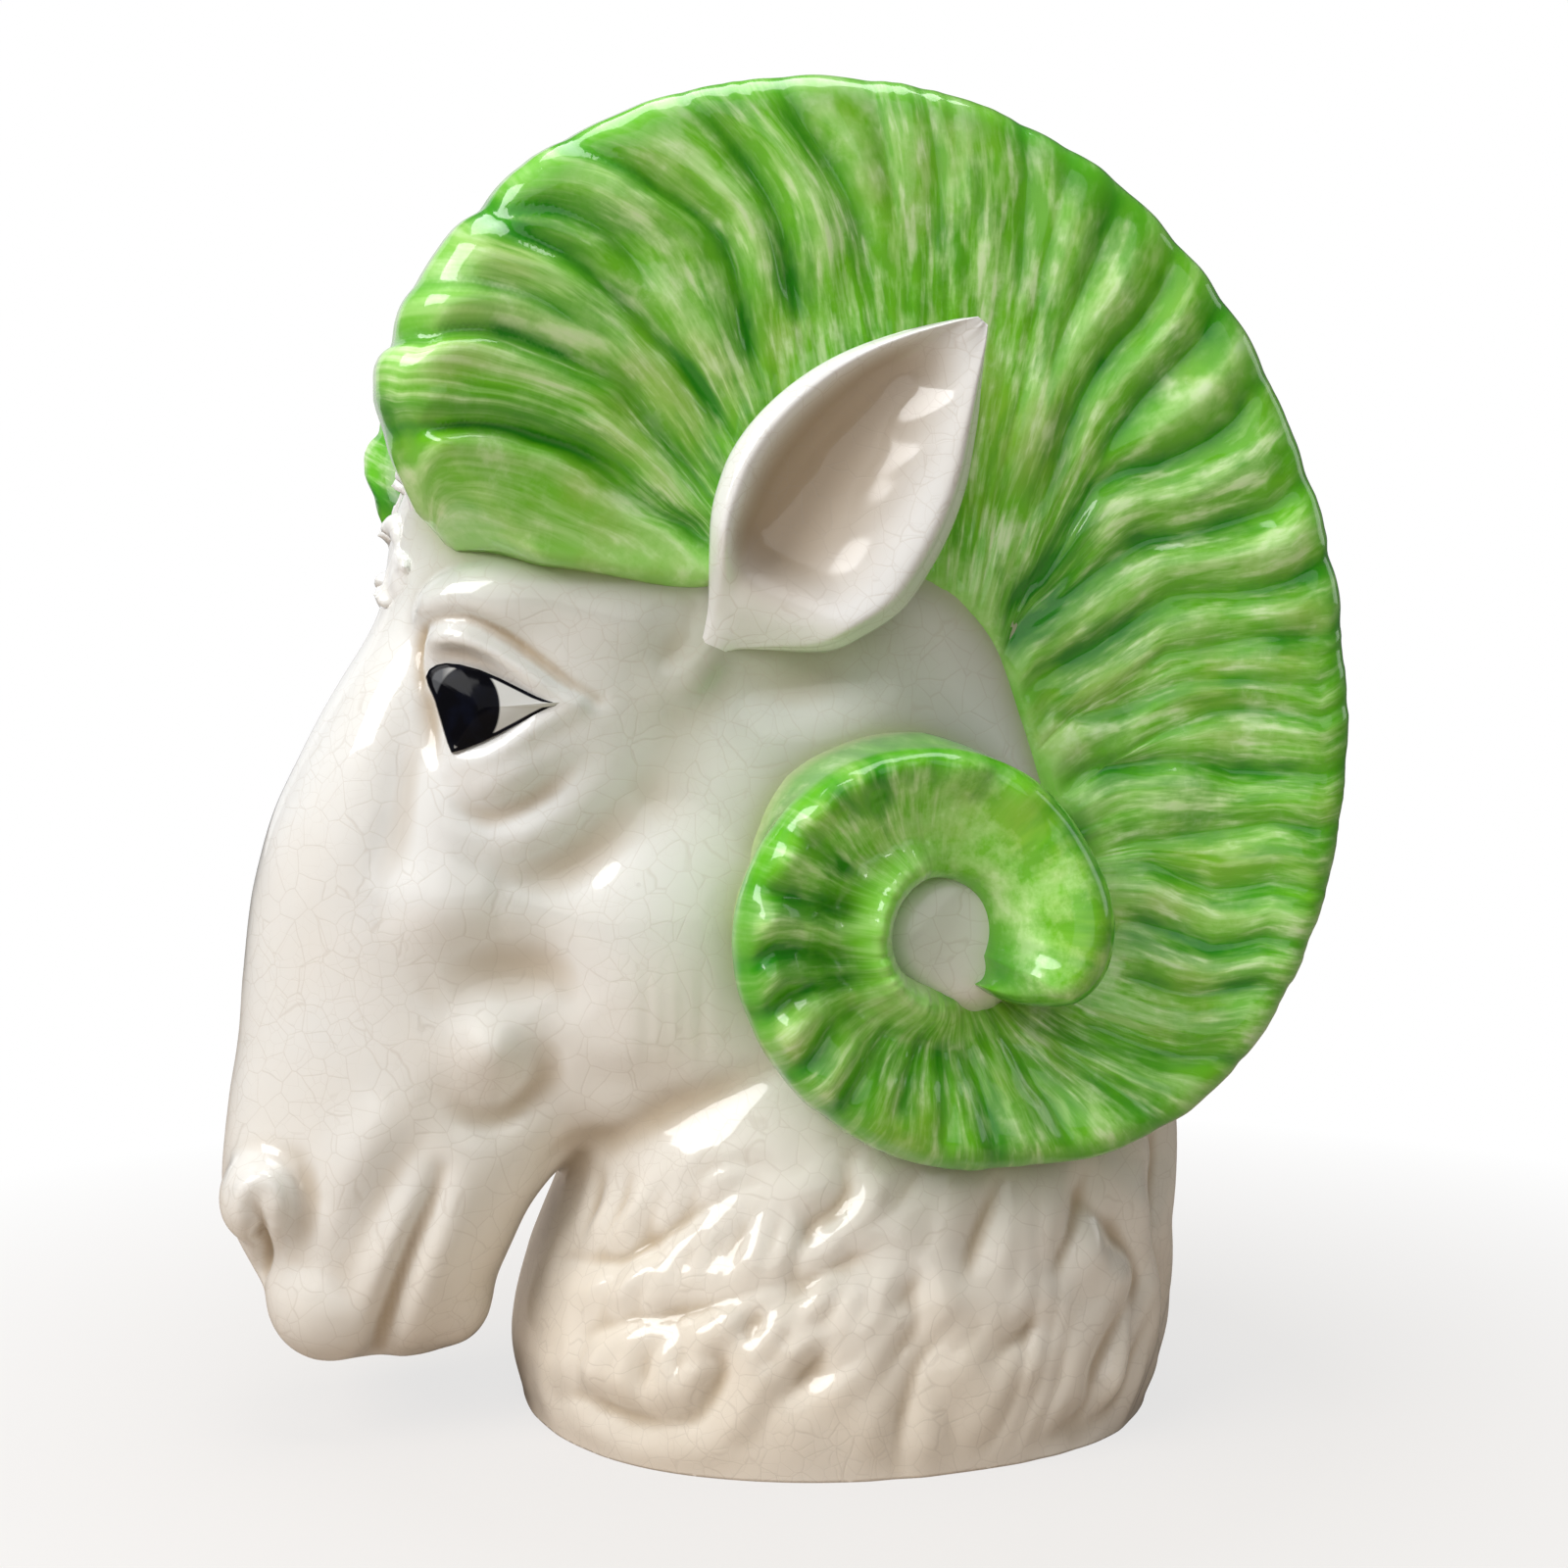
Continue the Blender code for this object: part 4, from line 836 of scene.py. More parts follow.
RELIEF = 0.95
VALLEY_SHARP, VALLEY_BROAD = 0.0021, 0.0060
SWELL_AT, SWELL_WIDE = 0.0075, 0.0048
relief = np.zeros_like(T)
groove = np.zeros_like(T)
courses = []
for coiled, table in ((False, SWEEP_VALLEYS), (True, COIL_VALLEYS)):
    for deep, marks in table:
        course = along_valley(marks, coiled)
        low, high = course[0, 0], course[-1, 0]
        end_low = np.polyfit(course[:3, 0], course[:3, 1], 1)[0] if len(course) > 2 else 0.0
        angle_at = np.interp(share, course[:, 0], course[:, 1])
        angle_at = angle_at + np.clip(end_low, -40, 40) * np.minimum(share - low, 0) * 0.5
        courses.append(angle_at)
        reaches_edge = high > 0.72
        here = ease((share - low + 0.14) / 0.16)
        here = here * (1.0 if reaches_edge else ease((high + 0.14 - share) / 0.16))
        off = np.radians(A - angle_at) * R
        sharp = np.exp(-((off / VALLEY_SHARP) ** 2))
        broad = np.exp(-((off / VALLEY_BROAD) ** 2))
        beside = np.exp(-(((np.abs(off) - SWELL_AT) / SWELL_WIDE) ** 2))
        near_edge = 1 - 0.75 * change(T, 0.80, 0.97) * (1 - forehead)
        relief += RELIEF * deep * MM * here * near_edge * (0.42 * beside - 0.42 * sharp - 0.50 * broad)
        groove = np.maximum(groove, min(deep / 2.4, 1.0) * here * (0.55 * sharp + 0.45 * broad))
print("valleys", len(courses), "relief in mm", np.round((relief.min() / MM, relief.max() / MM), 2))

# %% Strands between the valleys
order = np.argsort([-course[ACROSS // 2] for course in courses])
courses = np.array(courses)[order]
middle_run = np.interp(-courses[:, ACROSS // 2], -fine, run)
starts = np.full((1, ACROSS), fine[0] + 30.0)
finishes = np.full((1, ACROSS), fine[-1] - 30.0)
knots = -np.vstack((starts, courses, finishes))
knots = np.maximum.accumulate(knots + np.arange(len(knots))[:, None] * 0.01, axis=0)
values = np.concatenate(([middle_run[0] - 0.06], middle_run, [run[-1] + 0.03])) * 100
values = np.maximum.accumulate(values + np.arange(len(values)) * 0.001)
strand = np.stack([np.interp(-theta, knots[:, j], values) for j in range(ACROSS)], axis=1)
uncoiled = 1 - change(A, -235, -275)
fine_relief = 0.00045 * uneven(strand * 1.6, T * W / 0.030, 0.0, seed=41)
fine_relief += 0.00022 * uneven(strand * 3.7, T * W / 0.014, 2.0, seed=43)
dents = 0.0007 * uneven(S / 0.022, T * W / 0.016, 5.0, seed=21)
hand_made = (fine_relief + dents) * (0.4 + 0.6 * uncoiled) * change(T, 0.0, 0.08)
relief = relief * change(T, -0.04, 0.10) + hand_made

# Painted shadow: a dark line along the coil tip's outer edge and a dark band on the band's inner edge under
# the tip. The coil's end is darkened as well.
painted_shadow_at_tip_edge = change(A, -290, -330) * change(T, 0.60, 0.98)
painted_shadow_under_tip = (1 - change(T, 0.02, 0.14)) * change(A, 45, 20) * (1 - change(A, -75, -105))
tip_end = 0.45 * change(A, -360, -424) + 0.40 * change(A, -330, -380) * (1 - change(T, 0.05, 0.50))
groove = np.maximum(groove, 1.5 * np.maximum(painted_shadow_at_tip_edge, painted_shadow_under_tip))
groove = np.maximum(groove, 1.2 * tip_end)
print("strands from", round(strand.min(), 1), "to", round(strand.max(), 1))

# %% The horn itself, with notes for its glaze
rings = horn_rings(relief)
fall = np.broadcast_to(np.linspace(0, 1, WALL_STEPS + 1)[1:], (STATIONS, WALL_STEPS))
fallen = np.hstack((fall, np.ones((STATIONS, BACK_STEPS))))
on_tip = change(theta, -230, -285)
on_coil = change(theta, -120, -175) * (1 - change(theta, -270, -295))
# The crest note lightens the green as a painted highlight. The groove note darkens the valleys, partly as
# glaze pooling and partly as painted shade, and carries painted shadow along and under the coil's tip.
notes = {
    "strand": np.hstack((strand, strand[:, -1:] + 0 * fallen, strand[:, :1] + 0 * fall)),
    "across": np.hstack((T * W, width[:, None] + fallen * 0.03, -(1 - fall) * 0.03)),
    "crest": np.hstack((np.clip(relief / 0.0012, 0, 1), 0 * fallen, 0 * fall)),
    "groove": np.hstack((groove, groove[:, -1:] * (1 - 0.5 * fallen), 0 * fall)),
    "rim": np.hstack((change(T, 0.88, 0.95) * (1 - forehead), 1 - 0.5 * fallen, 0 * fall)),
    "wall": np.hstack((np.zeros_like(T), fallen, 1 - fall * 0.8)),
    "tip": np.repeat(on_tip[:, None], rings.shape[1], axis=1),
    "coil": np.repeat(on_coil[:, None], rings.shape[1], axis=1),
}
horns = both_sides("horn", "glazed", rings, notes)
print("horn faces", len(horns[0].data.polygons))

# %% [markdown]
# ## Ears
# An ear is a leaf of clay with a thick rolled rim, scooped towards its front edge, with a few strands
# pressed inside. Its left and right edge are followed from the picture onto the ear's own plane, and the
# sheet between them is dished. Its root is drawn onto the skin of the head, so that the ear rises out of it.

# %% Ears
EAR_EDGES = [
    (0.00, (712, 676), (722, 682)),
    (0.05, (719, 652), (746, 664)),
    (0.10, (725, 622), (782, 662)),
    (0.20, (727, 572), (842, 661)),
    (0.30, (729, 530), (881, 643)),
    (0.40, (736, 498), (918, 617)),
    (0.50, (750, 462), (946, 577)),
    (0.60, (776, 425), (968, 535)),
    (0.70, (815, 389), (984, 490)),
    (0.80, (862, 360), (994, 440)),
    (0.90, (920, 338), (1002, 392)),
    (0.97, (974, 325), (1008, 352)),
    (1.00, (997, 322), (1009, 332)),
]
EAR_ROWS, EAR_COLUMNS, EAR_BACK = 96, 56, 40
BOWL_DEPTH = 0.0140
LEFT_ROLL, RIGHT_ROLL = 0.0042, 0.0030
EAR_STRANDS = 0.00018
RIM_THICK = 0.0036
TIP_STARTS = 0.84


def on_ear(column, row):
    """Where the camera sees a point of the picture on the plane of the ear."""
    ray = sight(column, row)
    return STAND + ray * ((EAR_ROOT - STAND).dot(EAR_NORMAL) / ray.dot(EAR_NORMAL))


def towards_tip(part_way):
    return ease((part_way - TIP_STARTS) / (1 - TIP_STARTS))


def ear_fullness(part_way):
    """How full the ear is along its length: slight at its root, nothing at its tip."""
    return np.sin(math.pi * np.clip(0.06 + 0.90 * part_way, 0, 1)) ** 0.6 * (1 - towards_tip(part_way))


rows = [(part_way, *on_ear(*left), *on_ear(*right)) for part_way, left, right in EAR_EDGES]
u = np.linspace(0, 1, EAR_ROWS)
u = 0.5 * u + 0.5 * (1 - np.cos(math.pi * u)) / 2
edges = through(rows, u).T
left_edge, right_edge = edges[:, None, :3], edges[:, None, 3:]
span = np.linalg.norm(right_edge - left_edge, axis=2)
sideways = (right_edge - left_edge) / span[..., None]
outward = np.array(EAR_NORMAL)
w = (1 - np.cos(np.linspace(0, math.pi, EAR_COLUMNS))) / 2
Wd, U = np.meshgrid(w, u)
hollow_out = change(Wd, 0.08, 0.25) * (1 - change(Wd, 0.30, 0.955)) ** 0.8
depth = BOWL_DEPTH * hollow_out * ear_fullness(U) * ease((U - 0.09) / 0.28)
roll_left = LEFT_ROLL * np.clip(1 - Wd / 0.085, 0, 1) ** 2
roll_right = RIGHT_ROLL * np.clip(1 - (1 - Wd) / 0.055, 0, 1) ** 2
strands = EAR_STRANDS * uneven((U - 0.45 * Wd) / 0.06, Wd / 0.40, 0.0, seed=71)
strands = strands * change(Wd, 0.30, 0.60) * (1 - change(Wd, 0.80, 0.95))
raised = strands - depth - roll_left - roll_right
front = left_edge + sideways * (Wd * span)[..., None] + outward * raised[..., None]

round_back = np.linspace(0, math.pi, EAR_BACK + 2)[1:-1]
Rb, Ub = np.meshgrid(round_back, u)
full_back = ear_fullness(Ub)
middle_w = 0.5 + 0.5 * np.cos(Rb)
spread = 0.0034 * np.exp(-(((middle_w - 1) / 0.25) ** 2)) - 0.0010 * np.exp(-((middle_w / 0.2) ** 2))
sink = RIM_THICK * (1 - 0.5 * towards_tip(Ub)) + (0.0010 + 0.0125 * full_back) * np.sin(Rb) ** 0.7
rear = left_edge + sideways * (middle_w * span + spread * full_back)[..., None] - outward * sink[..., None]
section = np.concatenate((front, rear), axis=1)
for _ in range(3):
    section = 0.5 * section + 0.25 * (np.roll(section, 1, 1) + np.roll(section, -1, 1))
print("ear sections", len(section))

# %% The ear's root, risen out of the skin
ROOT_ENDS = 0.30
ROOT_SUNK, BACK_SUNK = 0.0010, 0.0020
STALK_STEPS = (0.35, 0.60, 0.82)
view_line = section - np.array(STAND)
reach = np.linalg.norm(view_line, axis=2, keepdims=True)
view_line /= reach
for i in range(int(np.searchsorted(u, ROOT_ENDS))):
    near_root = 1 - ease(u[i] / ROOT_ENDS)
    ahead, behind = view_line[i, :EAR_COLUMNS], view_line[i, EAR_COLUMNS:]
    skin_reach = np.array([clay_tree.ray_cast(STAND, Vector(ray))[3] for ray in ahead])
    pull = (skin_reach + ROOT_SUNK - reach[i, :EAR_COLUMNS, 0]) * near_root
    section[i, :EAR_COLUMNS] += ahead * pull[:, None]
    section[i, EAR_COLUMNS:] += behind * (pull.mean() + BACK_SUNK * near_root)
anchor = np.array((0.0, -0.0400, 0.2020))
anchor[0] = inside_wall([anchor])[0]
stalk = np.array([anchor + (section[0] - anchor) * k for k in STALK_STEPS])
ear_rings = np.concatenate((stalk, section), axis=0)
least = inside_wall(ear_rings.reshape(-1, 3)).reshape(ear_rings.shape[:2])
ear_rings[..., 0] = np.maximum(ear_rings[..., 0], least)
# The bowl's depth becomes the ear's hollow notes, so the white glaze paints shade into the bowl.
in_bowl = np.hstack((depth / depth.max(), 0 * Rb))
bowl_shade = 0.5 + 0.5 * np.vstack((np.zeros((len(stalk), EAR_COLUMNS + EAR_BACK)), in_bowl))
ear_notes = {"hollow": bowl_shade, "dell": bowl_shade, "valley": bowl_shade, "bleed": 0 * bowl_shade, "shade": 0 * bowl_shade}
ears = both_sides("ear", "modelled", ear_rings, ear_notes)
print("ear faces", len(ears[0].data.polygons))

# %% [markdown]
# ## Eyes
# The eye is a shallow swelling between the lids, painted: a black iris, a pale corner, and a black outline
# that runs out into a tail. A patch with exactly that outline lies on the skin, and notes on its points
# tell the glaze where to paint.

# %% Eyes
EYE_LINE = [
    (435, 690), (438, 683), (445, 678.5), (455, 676.5), (470, 678), (490, 683.5), (510, 692),
        (530, 702), (548, 711),
    (560, 715.5), (572, 717), (584, 715.5), (573, 720), (560, 722), (548, 728), (530, 738),
        (510, 748.5), (490, 758),
    (472, 765), (461, 768), (457, 758), (451, 738), (444, 714), (437, 698),
]
IRIS, IRIS_WIDE, IRIS_TALL = (477.0, 722.0), 33.0, 43.0
EYE_MIDDLE = np.array((490.0, 722.0))
EYE_RINGS, EYE_AROUND = 26, 180
EYE_REACH = 60.0
EYE_LIFT, EYE_SWELL = 0.0004, 0.0024
outline = np.array(EYE_LINE, float)
closed = np.vstack((outline, outline[:1]))
length = np.concatenate(([0], np.cumsum(np.linalg.norm(np.diff(closed, axis=0), axis=1))))
sample = np.linspace(0, length[-1], EYE_AROUND, endpoint=False)
outline = np.column_stack([np.interp(sample, length, closed[:, k]) for k in (0, 1)])


def bowl_terms(spots):
    """Terms of a gently curved sheet over the picture."""
    p, q = ((spots - EYE_MIDDLE) / EYE_REACH).T
    return np.stack((np.ones_like(p), p, q, p * p, p * q, q * q), axis=1)


reach_out = [head_tree.ray_cast(STAND, sight(*spot).normalized())[3] for spot in outline]
sheet = np.linalg.lstsq(bowl_terms(outline), np.array(reach_out), rcond=None)[0]
rings_at = 1 - np.arange(EYE_RINGS) / EYE_RINGS
grid, eye_u, eye_v, eye_r = [], [], [], []
for r in rings_at:
    spots = EYE_MIDDLE + (outline - EYE_MIDDLE) * r
    reach = bowl_terms(spots) @ sheet - EYE_LIFT - EYE_SWELL * (1 - r * r)
    rays = np.array([tuple(sight(*spot).normalized()) for spot in spots])
    grid.append(np.array(STAND) + rays * reach[:, None])
    eye_u.append((spots[:, 0] - IRIS[0]) / IRIS_WIDE)
    eye_v.append((spots[:, 1] - IRIS[1]) / IRIS_TALL)
    eye_r.append(np.full(EYE_AROUND, r))
grid = np.array(grid)
sunk_ring = grid[:1] + np.array((-0.0040, 0, 0))
sunk_back = 0.5 * (grid[:1] + grid[:1].mean(1, keepdims=True)) + np.array((-0.0060, 0, 0))
eye_rings = np.concatenate((sunk_back, sunk_ring, grid), axis=0)
eye_notes = {}
for key, table in (("iris_u", eye_u), ("iris_v", eye_v), ("edge", eye_r)):
    eye_notes[key] = np.array(table[:1] * 2 + table)
eyes = both_sides("eye", "painted", eye_rings, eye_notes)
print("eye faces", len(eyes[0].data.polygons))

# %% [markdown]
# ## Forelock
# Between the horns the forehead carries a tuft of wool. Each curl is a short coiled roll of clay. Coils
# laid over each other down the forehead, fused and smoothed, give a tuft that looks modelled and not like a
# row of beads.

# %% Forelock
def curl(centre, size, spin, hand):
    """A coiled roll that stands out from the forehead."""
    t = np.linspace(0, 1, 22)
    angle = spin + hand * t * 4.6
    reach = size * (0.25 + 0.75 * t)
    moves = (reach * np.cos(angle), -size * 0.55 * (1 - t), reach * np.sin(angle))
    line = np.array(centre) + np.stack(moves, axis=1)
    thick = size * (0.50 - 0.22 * t)
    ahead_line = np.gradient(line, axis=0)
    ahead_line /= np.linalg.norm(ahead_line, axis=1)[:, None]
    out = np.array((0.0, -1.0, 0.0))
    cross = np.cross(ahead_line, out)
    cross /= np.linalg.norm(cross, axis=1)[:, None]
    other = np.cross(ahead_line, cross)
    turns = np.linspace(0, 2 * math.pi, 12, endpoint=False)[None, :, None]
    around = np.cos(turns) * cross[:, None] + np.sin(turns) * other[:, None]
    return line[:, None] + thick[:, None, None] * around


CURL_ROWS = 8
CURLS_TOP, CURLS_BOTTOM = 0.2960, 0.2110
CURL_APART, CURL_SUNK, CURL_SIZE = 0.0130, 0.0050, 0.0080
CURL_BED = (0.0085, 0.0075, 0.0095)
BED_BACK = 0.003
TUFT_CELL = 0.0011
tuft = bmesh.new()
curls = 0
for row in range(CURL_ROWS):
    z = CURLS_TOP + (CURLS_BOTTOM - CURLS_TOP) * row / (CURL_ROWS - 1)
    front_neck = through(NECK, z)[0, 0]
    front_face = through(FACE, z)[0, 0] if z < FACE_TOP else 0.0
    for column in ((-1, 0, 1) if row % 2 else (-0.5, 0.5)):
        centre = (CURL_APART * column, min(front_neck, front_face) + CURL_SUNK, z)
        rings = curl(centre, CURL_SIZE, 1.3 * row + 2.1 * column, 1 if column <= 0 else -1)
        tuft.from_mesh(skin("curl", rings))
        place = Matrix.Translation((centre[0], centre[1] + BED_BACK, z))
        bed = place @ Matrix.Diagonal((*CURL_BED, 1))
        bmesh.ops.create_icosphere(tuft, subdivisions=3, radius=1.0, matrix=bed)
        curls += 1
woolly = put("tuft", from_clay("tuft", tuft))
fuse = woolly.modifiers.new("fuse", "REMESH")
fuse.mode = "VOXEL"
fuse.voxel_size = TUFT_CELL
calm = woolly.modifiers.new("calm", "SMOOTH")
calm.factor = 0.5
calm.iterations = 5
forelock = put("forelock_modelled", finished(woolly))
tuft_points = points_of(forelock.data)
for k, (x, y, z) in enumerate(tuft_points):
    spot, normal = clay_tree.ray_cast((x, HOLLOW_MIDDLE, z), (0.0, -1.0, 0.0))[:2]
    if spot is not None and normal.y > 0:
        tuft_points[k, 1] = min(y, spot.y - WALL / 2)
write_points(forelock.data, tuft_points)
print("curls", curls, "forelock faces", len(forelock.data.polygons))

# %% [markdown]
# ## Notes on the white skin
# The white is painted with shade: warmer and darker in folds and hollows, and darker and greener where a
# horn or an ear stands close. Green glaze has also crept onto the white beside the horns. All that could be
# painted by hand. Here it is measured, because it then fits every fold: how hollow the skin is at three
# scales, and how near a horn or an ear lies, are kept as notes at each point.

# %% Hollows, shade and bleed
def hollow_measure(mesh, rounds, full):
    """0 on a ridge, 0.5 on a flat, 1 in a hollow that lies as deep as full under the smoothed skin."""
    points, normals, pairs = points_of(mesh), normals_of(mesh), edges_of(mesh)
    calm_points = relax(points, pairs, np.full(len(points), 0.5), rounds)
    return np.clip(0.5 + 0.5 * np.einsum("ij,ij->i", calm_points - points, normals) / full, 0, 1)


FARTHEST, LOWEST = 0.05, 0.05
BLEED_REACH = 0.0026
HORN_SHADE, EAR_SHADE = 0.0080, 0.0160


def gaps_to(tree, points):
    """How far each point lies from a piece on the left side, up to a limit."""
    gap = np.full(len(points), FARTHEST)
    for k, (x, y, z) in enumerate(points):
        if z > LOWEST:
            distance = tree.find_nearest((abs(x), y, z), FARTHEST)[3]
            if distance is not None:
                gap[k] = distance
    return gap


shell_points = points_of(shell_mesh)
gap = gaps_to(tree_of(horns[0].data), shell_points)
ear_gap = gaps_to(tree_of(ears[0].data), shell_points)
in_coil = change(np.abs(shell_points[:, 0]), 0.062, 0.070) * change(shell_points[:, 2], 0.095, 0.105)
under_horn = np.exp(-gap / HORN_SHADE) * (1 - in_coil)
under_ear = 0.9 * np.exp(-ear_gap / EAR_SHADE)
# The hollow, dell and valley notes drive painted shade in the folds and hollows, and the shade note drives
# painted shade beside the horns and ears; the bleed note is green glaze crept onto the white.
note(shell_mesh, "hollow", hollow_measure(shell_mesh, 10, 0.0005))
note(shell_mesh, "dell", hollow_measure(shell_mesh, 90, 0.0020))
note(shell_mesh, "valley", hollow_measure(shell_mesh, 320, 0.0040))
note(shell_mesh, "bleed", np.exp(-gap / BLEED_REACH))
note(shell_mesh, "shade", np.maximum(under_horn, under_ear))
# The forelock's hollow note browns the creases between its curls as painted shade.
note(forelock.data, "hollow", hollow_measure(forelock.data, 8, 0.0006))
for key, value in (("dell", 0.5), ("valley", 0.5), ("bleed", 0.0), ("shade", 0.0)):
    note(forelock.data, key, np.full(len(forelock.data.vertices), value))
print("skin points near a horn", int((gap < 0.01).sum()))

# %% [markdown]
# ## Shader sums
# A shader is easier to read as a sum than as a list of nodes. Wire holds a socket, and sums of wires and
# numbers add the Math nodes. Nodes has one method for any other node, which sets the node up before it
# links it, and Finish is a material built with it.

# %% Wires and finishes
class Wire:
    """A shader socket that can stand in a sum."""

    def __init__(self, tree, socket):
        self.tree = tree
        self.socket = socket

    def sum(self, operation, first, second=None, clamp=False):
        node = self.tree.nodes.new("ShaderNodeMath")
        node.operation = operation
        node.use_clamp = clamp
        for slot, value in zip(node.inputs, (first, second)):
            if isinstance(value, Wire):
                self.tree.links.new(value.socket, slot)
            elif value is not None:
                slot.default_value = value
        return Wire(self.tree, node.outputs[0])

    def __add__(self, other):
        return self.sum("ADD", self, other)

    def __radd__(self, other):
        return self.sum("ADD", other, self)

    def __sub__(self, other):
        return self.sum("SUBTRACT", self, other)

    def __rsub__(self, other):
        return self.sum("SUBTRACT", other, self)

    def __mul__(self, other):
        return self.sum("MULTIPLY", self, other)

    def __rmul__(self, other):
        return self.sum("MULTIPLY", other, self)

    def __truediv__(self, other):
        return self.sum("DIVIDE", self, other)

    def __pow__(self, other):
        return self.sum("POWER", self, other)

    def clamped(self):
        return self.sum("ADD", self, 0.0, clamp=True)

    def above(self, low, high):
        """0 below low, 1 above high, with a straight rise between."""
        return ((self - low) / (high - low)).clamped()


class Nodes:
    """A tree of shader nodes, with one method that makes any node."""

    def __init__(self, tree):
        self.tree = tree

    def fill(self, made, sockets):
        for key, value in sockets.items():
            if isinstance(value, Wire):
                self.tree.links.new(value.socket, made.inputs[key])
            else:
                made.inputs[key].default_value = value

    def node(self, kind, settings=None, sockets=None, out=0):
        made = self.tree.nodes.new(kind)
        for key, value in (settings or {}).items():
            setattr(made, key, value)
        self.fill(made, sockets or {})
        return Wire(self.tree, made.outputs[out])


class Finish(Nodes):
    """A material and its Principled shader."""

    def __init__(self, name):
        self.material = bpy.data.materials.new(name)
        self.material.use_nodes = True
        super().__init__(self.material.node_tree)
        self.shader = self.tree.nodes["Principled BSDF"]

    def note(self, name):
        return self.node("ShaderNodeAttribute", {"attribute_name": name}, out="Fac")

    def place(self):
        return self.node("ShaderNodeTexCoord", out="Object")

    def vector(self, x, y, z=0.0):
        return self.node("ShaderNodeCombineXYZ", sockets={"X": x, "Y": y, "Z": z})

    def noise(self, vector, scale, detail=3.0, rough=0.5, out=0):
        sockets = {"Vector": vector, "Scale": scale, "Detail": detail, "Roughness": rough}
        return self.node("ShaderNodeTexNoise", {"noise_dimensions": "3D"}, sockets, out)

    def cells(self, vector, scale, feature):
        return self.node("ShaderNodeTexVoronoi", {"feature": feature}, {"Vector": vector, "Scale": scale})

    def mix(self, mask, first, second):
        sockets = {0: mask}
        for slot, colour in ((6, first), (7, second)):
            sockets[slot] = colour if isinstance(colour, Wire) else (*colour, 1.0)
        return self.node("ShaderNodeMix", {"data_type": "RGBA"}, sockets, out=2)

    def set(self, **sockets):
        self.fill(self.shader, {key.replace("_", " "): value for key, value in sockets.items()})

    def bump(self, height, strength, distance):
        sockets = {"Height": height, "Strength": strength, "Distance": distance}
        self.set(Normal=self.node("ShaderNodeBump", sockets=sockets))


print("shader helpers ready")

# %% [markdown]
# ## White glaze
# A thick clear gloss over cream earthenware. Age has crazed it: a net of fine cracks, with a few iron
# specks.
# A cream tint low down is painted warm light bounced up from below. The browns in the folds and hollows, and
# a dark green-grey beside the horns and ears, are painted shade. The net is the border between the cells of
# a
# Voronoi texture, bent by noise.

# %% White glaze
GLOSS = {"Roughness": 0.32, "Specular_IOR_Level": 0.2, "Coat_Weight": 0.9, "Coat_Roughness": 0.06}
CLEAN, CREAM = (0.860, 0.860, 0.845), (0.860, 0.775, 0.660)
# The two browns are painted shade for folds and broad hollows; the shade colour is painted shade beside the
# horns and ears.
PAINTED_FOLD_SHADE, PAINTED_HOLLOW_SHADE = (0.560, 0.455, 0.330), (0.500, 0.395, 0.265)
SHADE, CREPT_GREEN = (0.370, 0.385, 0.250), (0.42, 0.58, 0.16)
CRACK, SPECK = (0.52, 0.45, 0.37), (0.16, 0.10, 0.05)

white = Finish("white_crackle_glaze")
spot = white.place()
height_up = white.node("ShaderNodeSeparateXYZ", sockets={0: spot}, out="Z")
backward = white.node("ShaderNodeSeparateXYZ", sockets={0: spot}, out="Y")
bent = white.noise(spot, 60.0, 2.0, out="Color")
bending = {0: bent, 1: (0.006, 0.006, 0.006), 2: spot}
shifted = white.node("ShaderNodeVectorMath", {"operation": "MULTIPLY_ADD"}, bending)
net = white.cells(shifted, 150.0, "DISTANCE_TO_EDGE")
fine_net = white.cells(shifted, 260.0, "DISTANCE_TO_EDGE")
broken = white.noise(spot, 35.0).above(0.42, 0.60)
crack = (1 - net.above(0.004, 0.030)) * 0.85 + (1 - fine_net.above(0.004, 0.035)) * broken * 0.6
hollows = white.note("hollow").above(0.52, 0.95)
dells = white.note("dell").above(0.55, 1.0)
# Painted light: the cream tint low down stands in for warm light bounced up from below; the clouds add a
# random cream tone.
painted_warm_bounce = (1 - height_up.above(0.02, 0.15)) * (0.40 + 0.60 * backward.above(-0.125, -0.090))
clouds = white.noise(spot, 22.0, 4.0)
cream_and_painted_bounce = (painted_warm_bounce * 0.85 + clouds.above(0.45, 0.75) * 0.25).clamped()
tone = white.mix(cream_and_painted_bounce, CLEAN, CREAM)
# Painted shade: folds and hollows are browned where shade falls in them.
fold_shade_mask = (hollows * 0.40 + dells * 0.60).clamped()
tone = white.mix(fold_shade_mask, tone, PAINTED_FOLD_SHADE)
# Painted shade: broad hollows, such as under the jaw and below the ear, are browned further.
broad = white.note("valley").above(0.55, 1.0)
tone = white.mix(broad * 0.60, tone, PAINTED_HOLLOW_SHADE)
tone = white.mix(white.note("shade") * 0.80, tone, SHADE)
tone = white.mix(crack.clamped() * 0.28, tone, CRACK)
specks = white.cells(spot, 46.0, "F1")
speckle = (1 - specks.above(0.020, 0.034)) * white.noise(spot, 15.0, 1.0).above(0.55, 0.62)
tone = white.mix(speckle * 0.75, tone, SPECK)
creep = (white.note("bleed") * (0.35 + white.noise(spot, 70.0))).above(0.12, 0.85)
tone = white.mix(creep * 0.30, tone, CREPT_GREEN)
white.set(Base_Color=tone, **GLOSS)
white.bump(1 - crack.clamped() + white.noise(spot, 120.0, 2.0) * 0.6, 0.10, 0.0006)
print("white glaze nodes", len(white.tree.nodes))

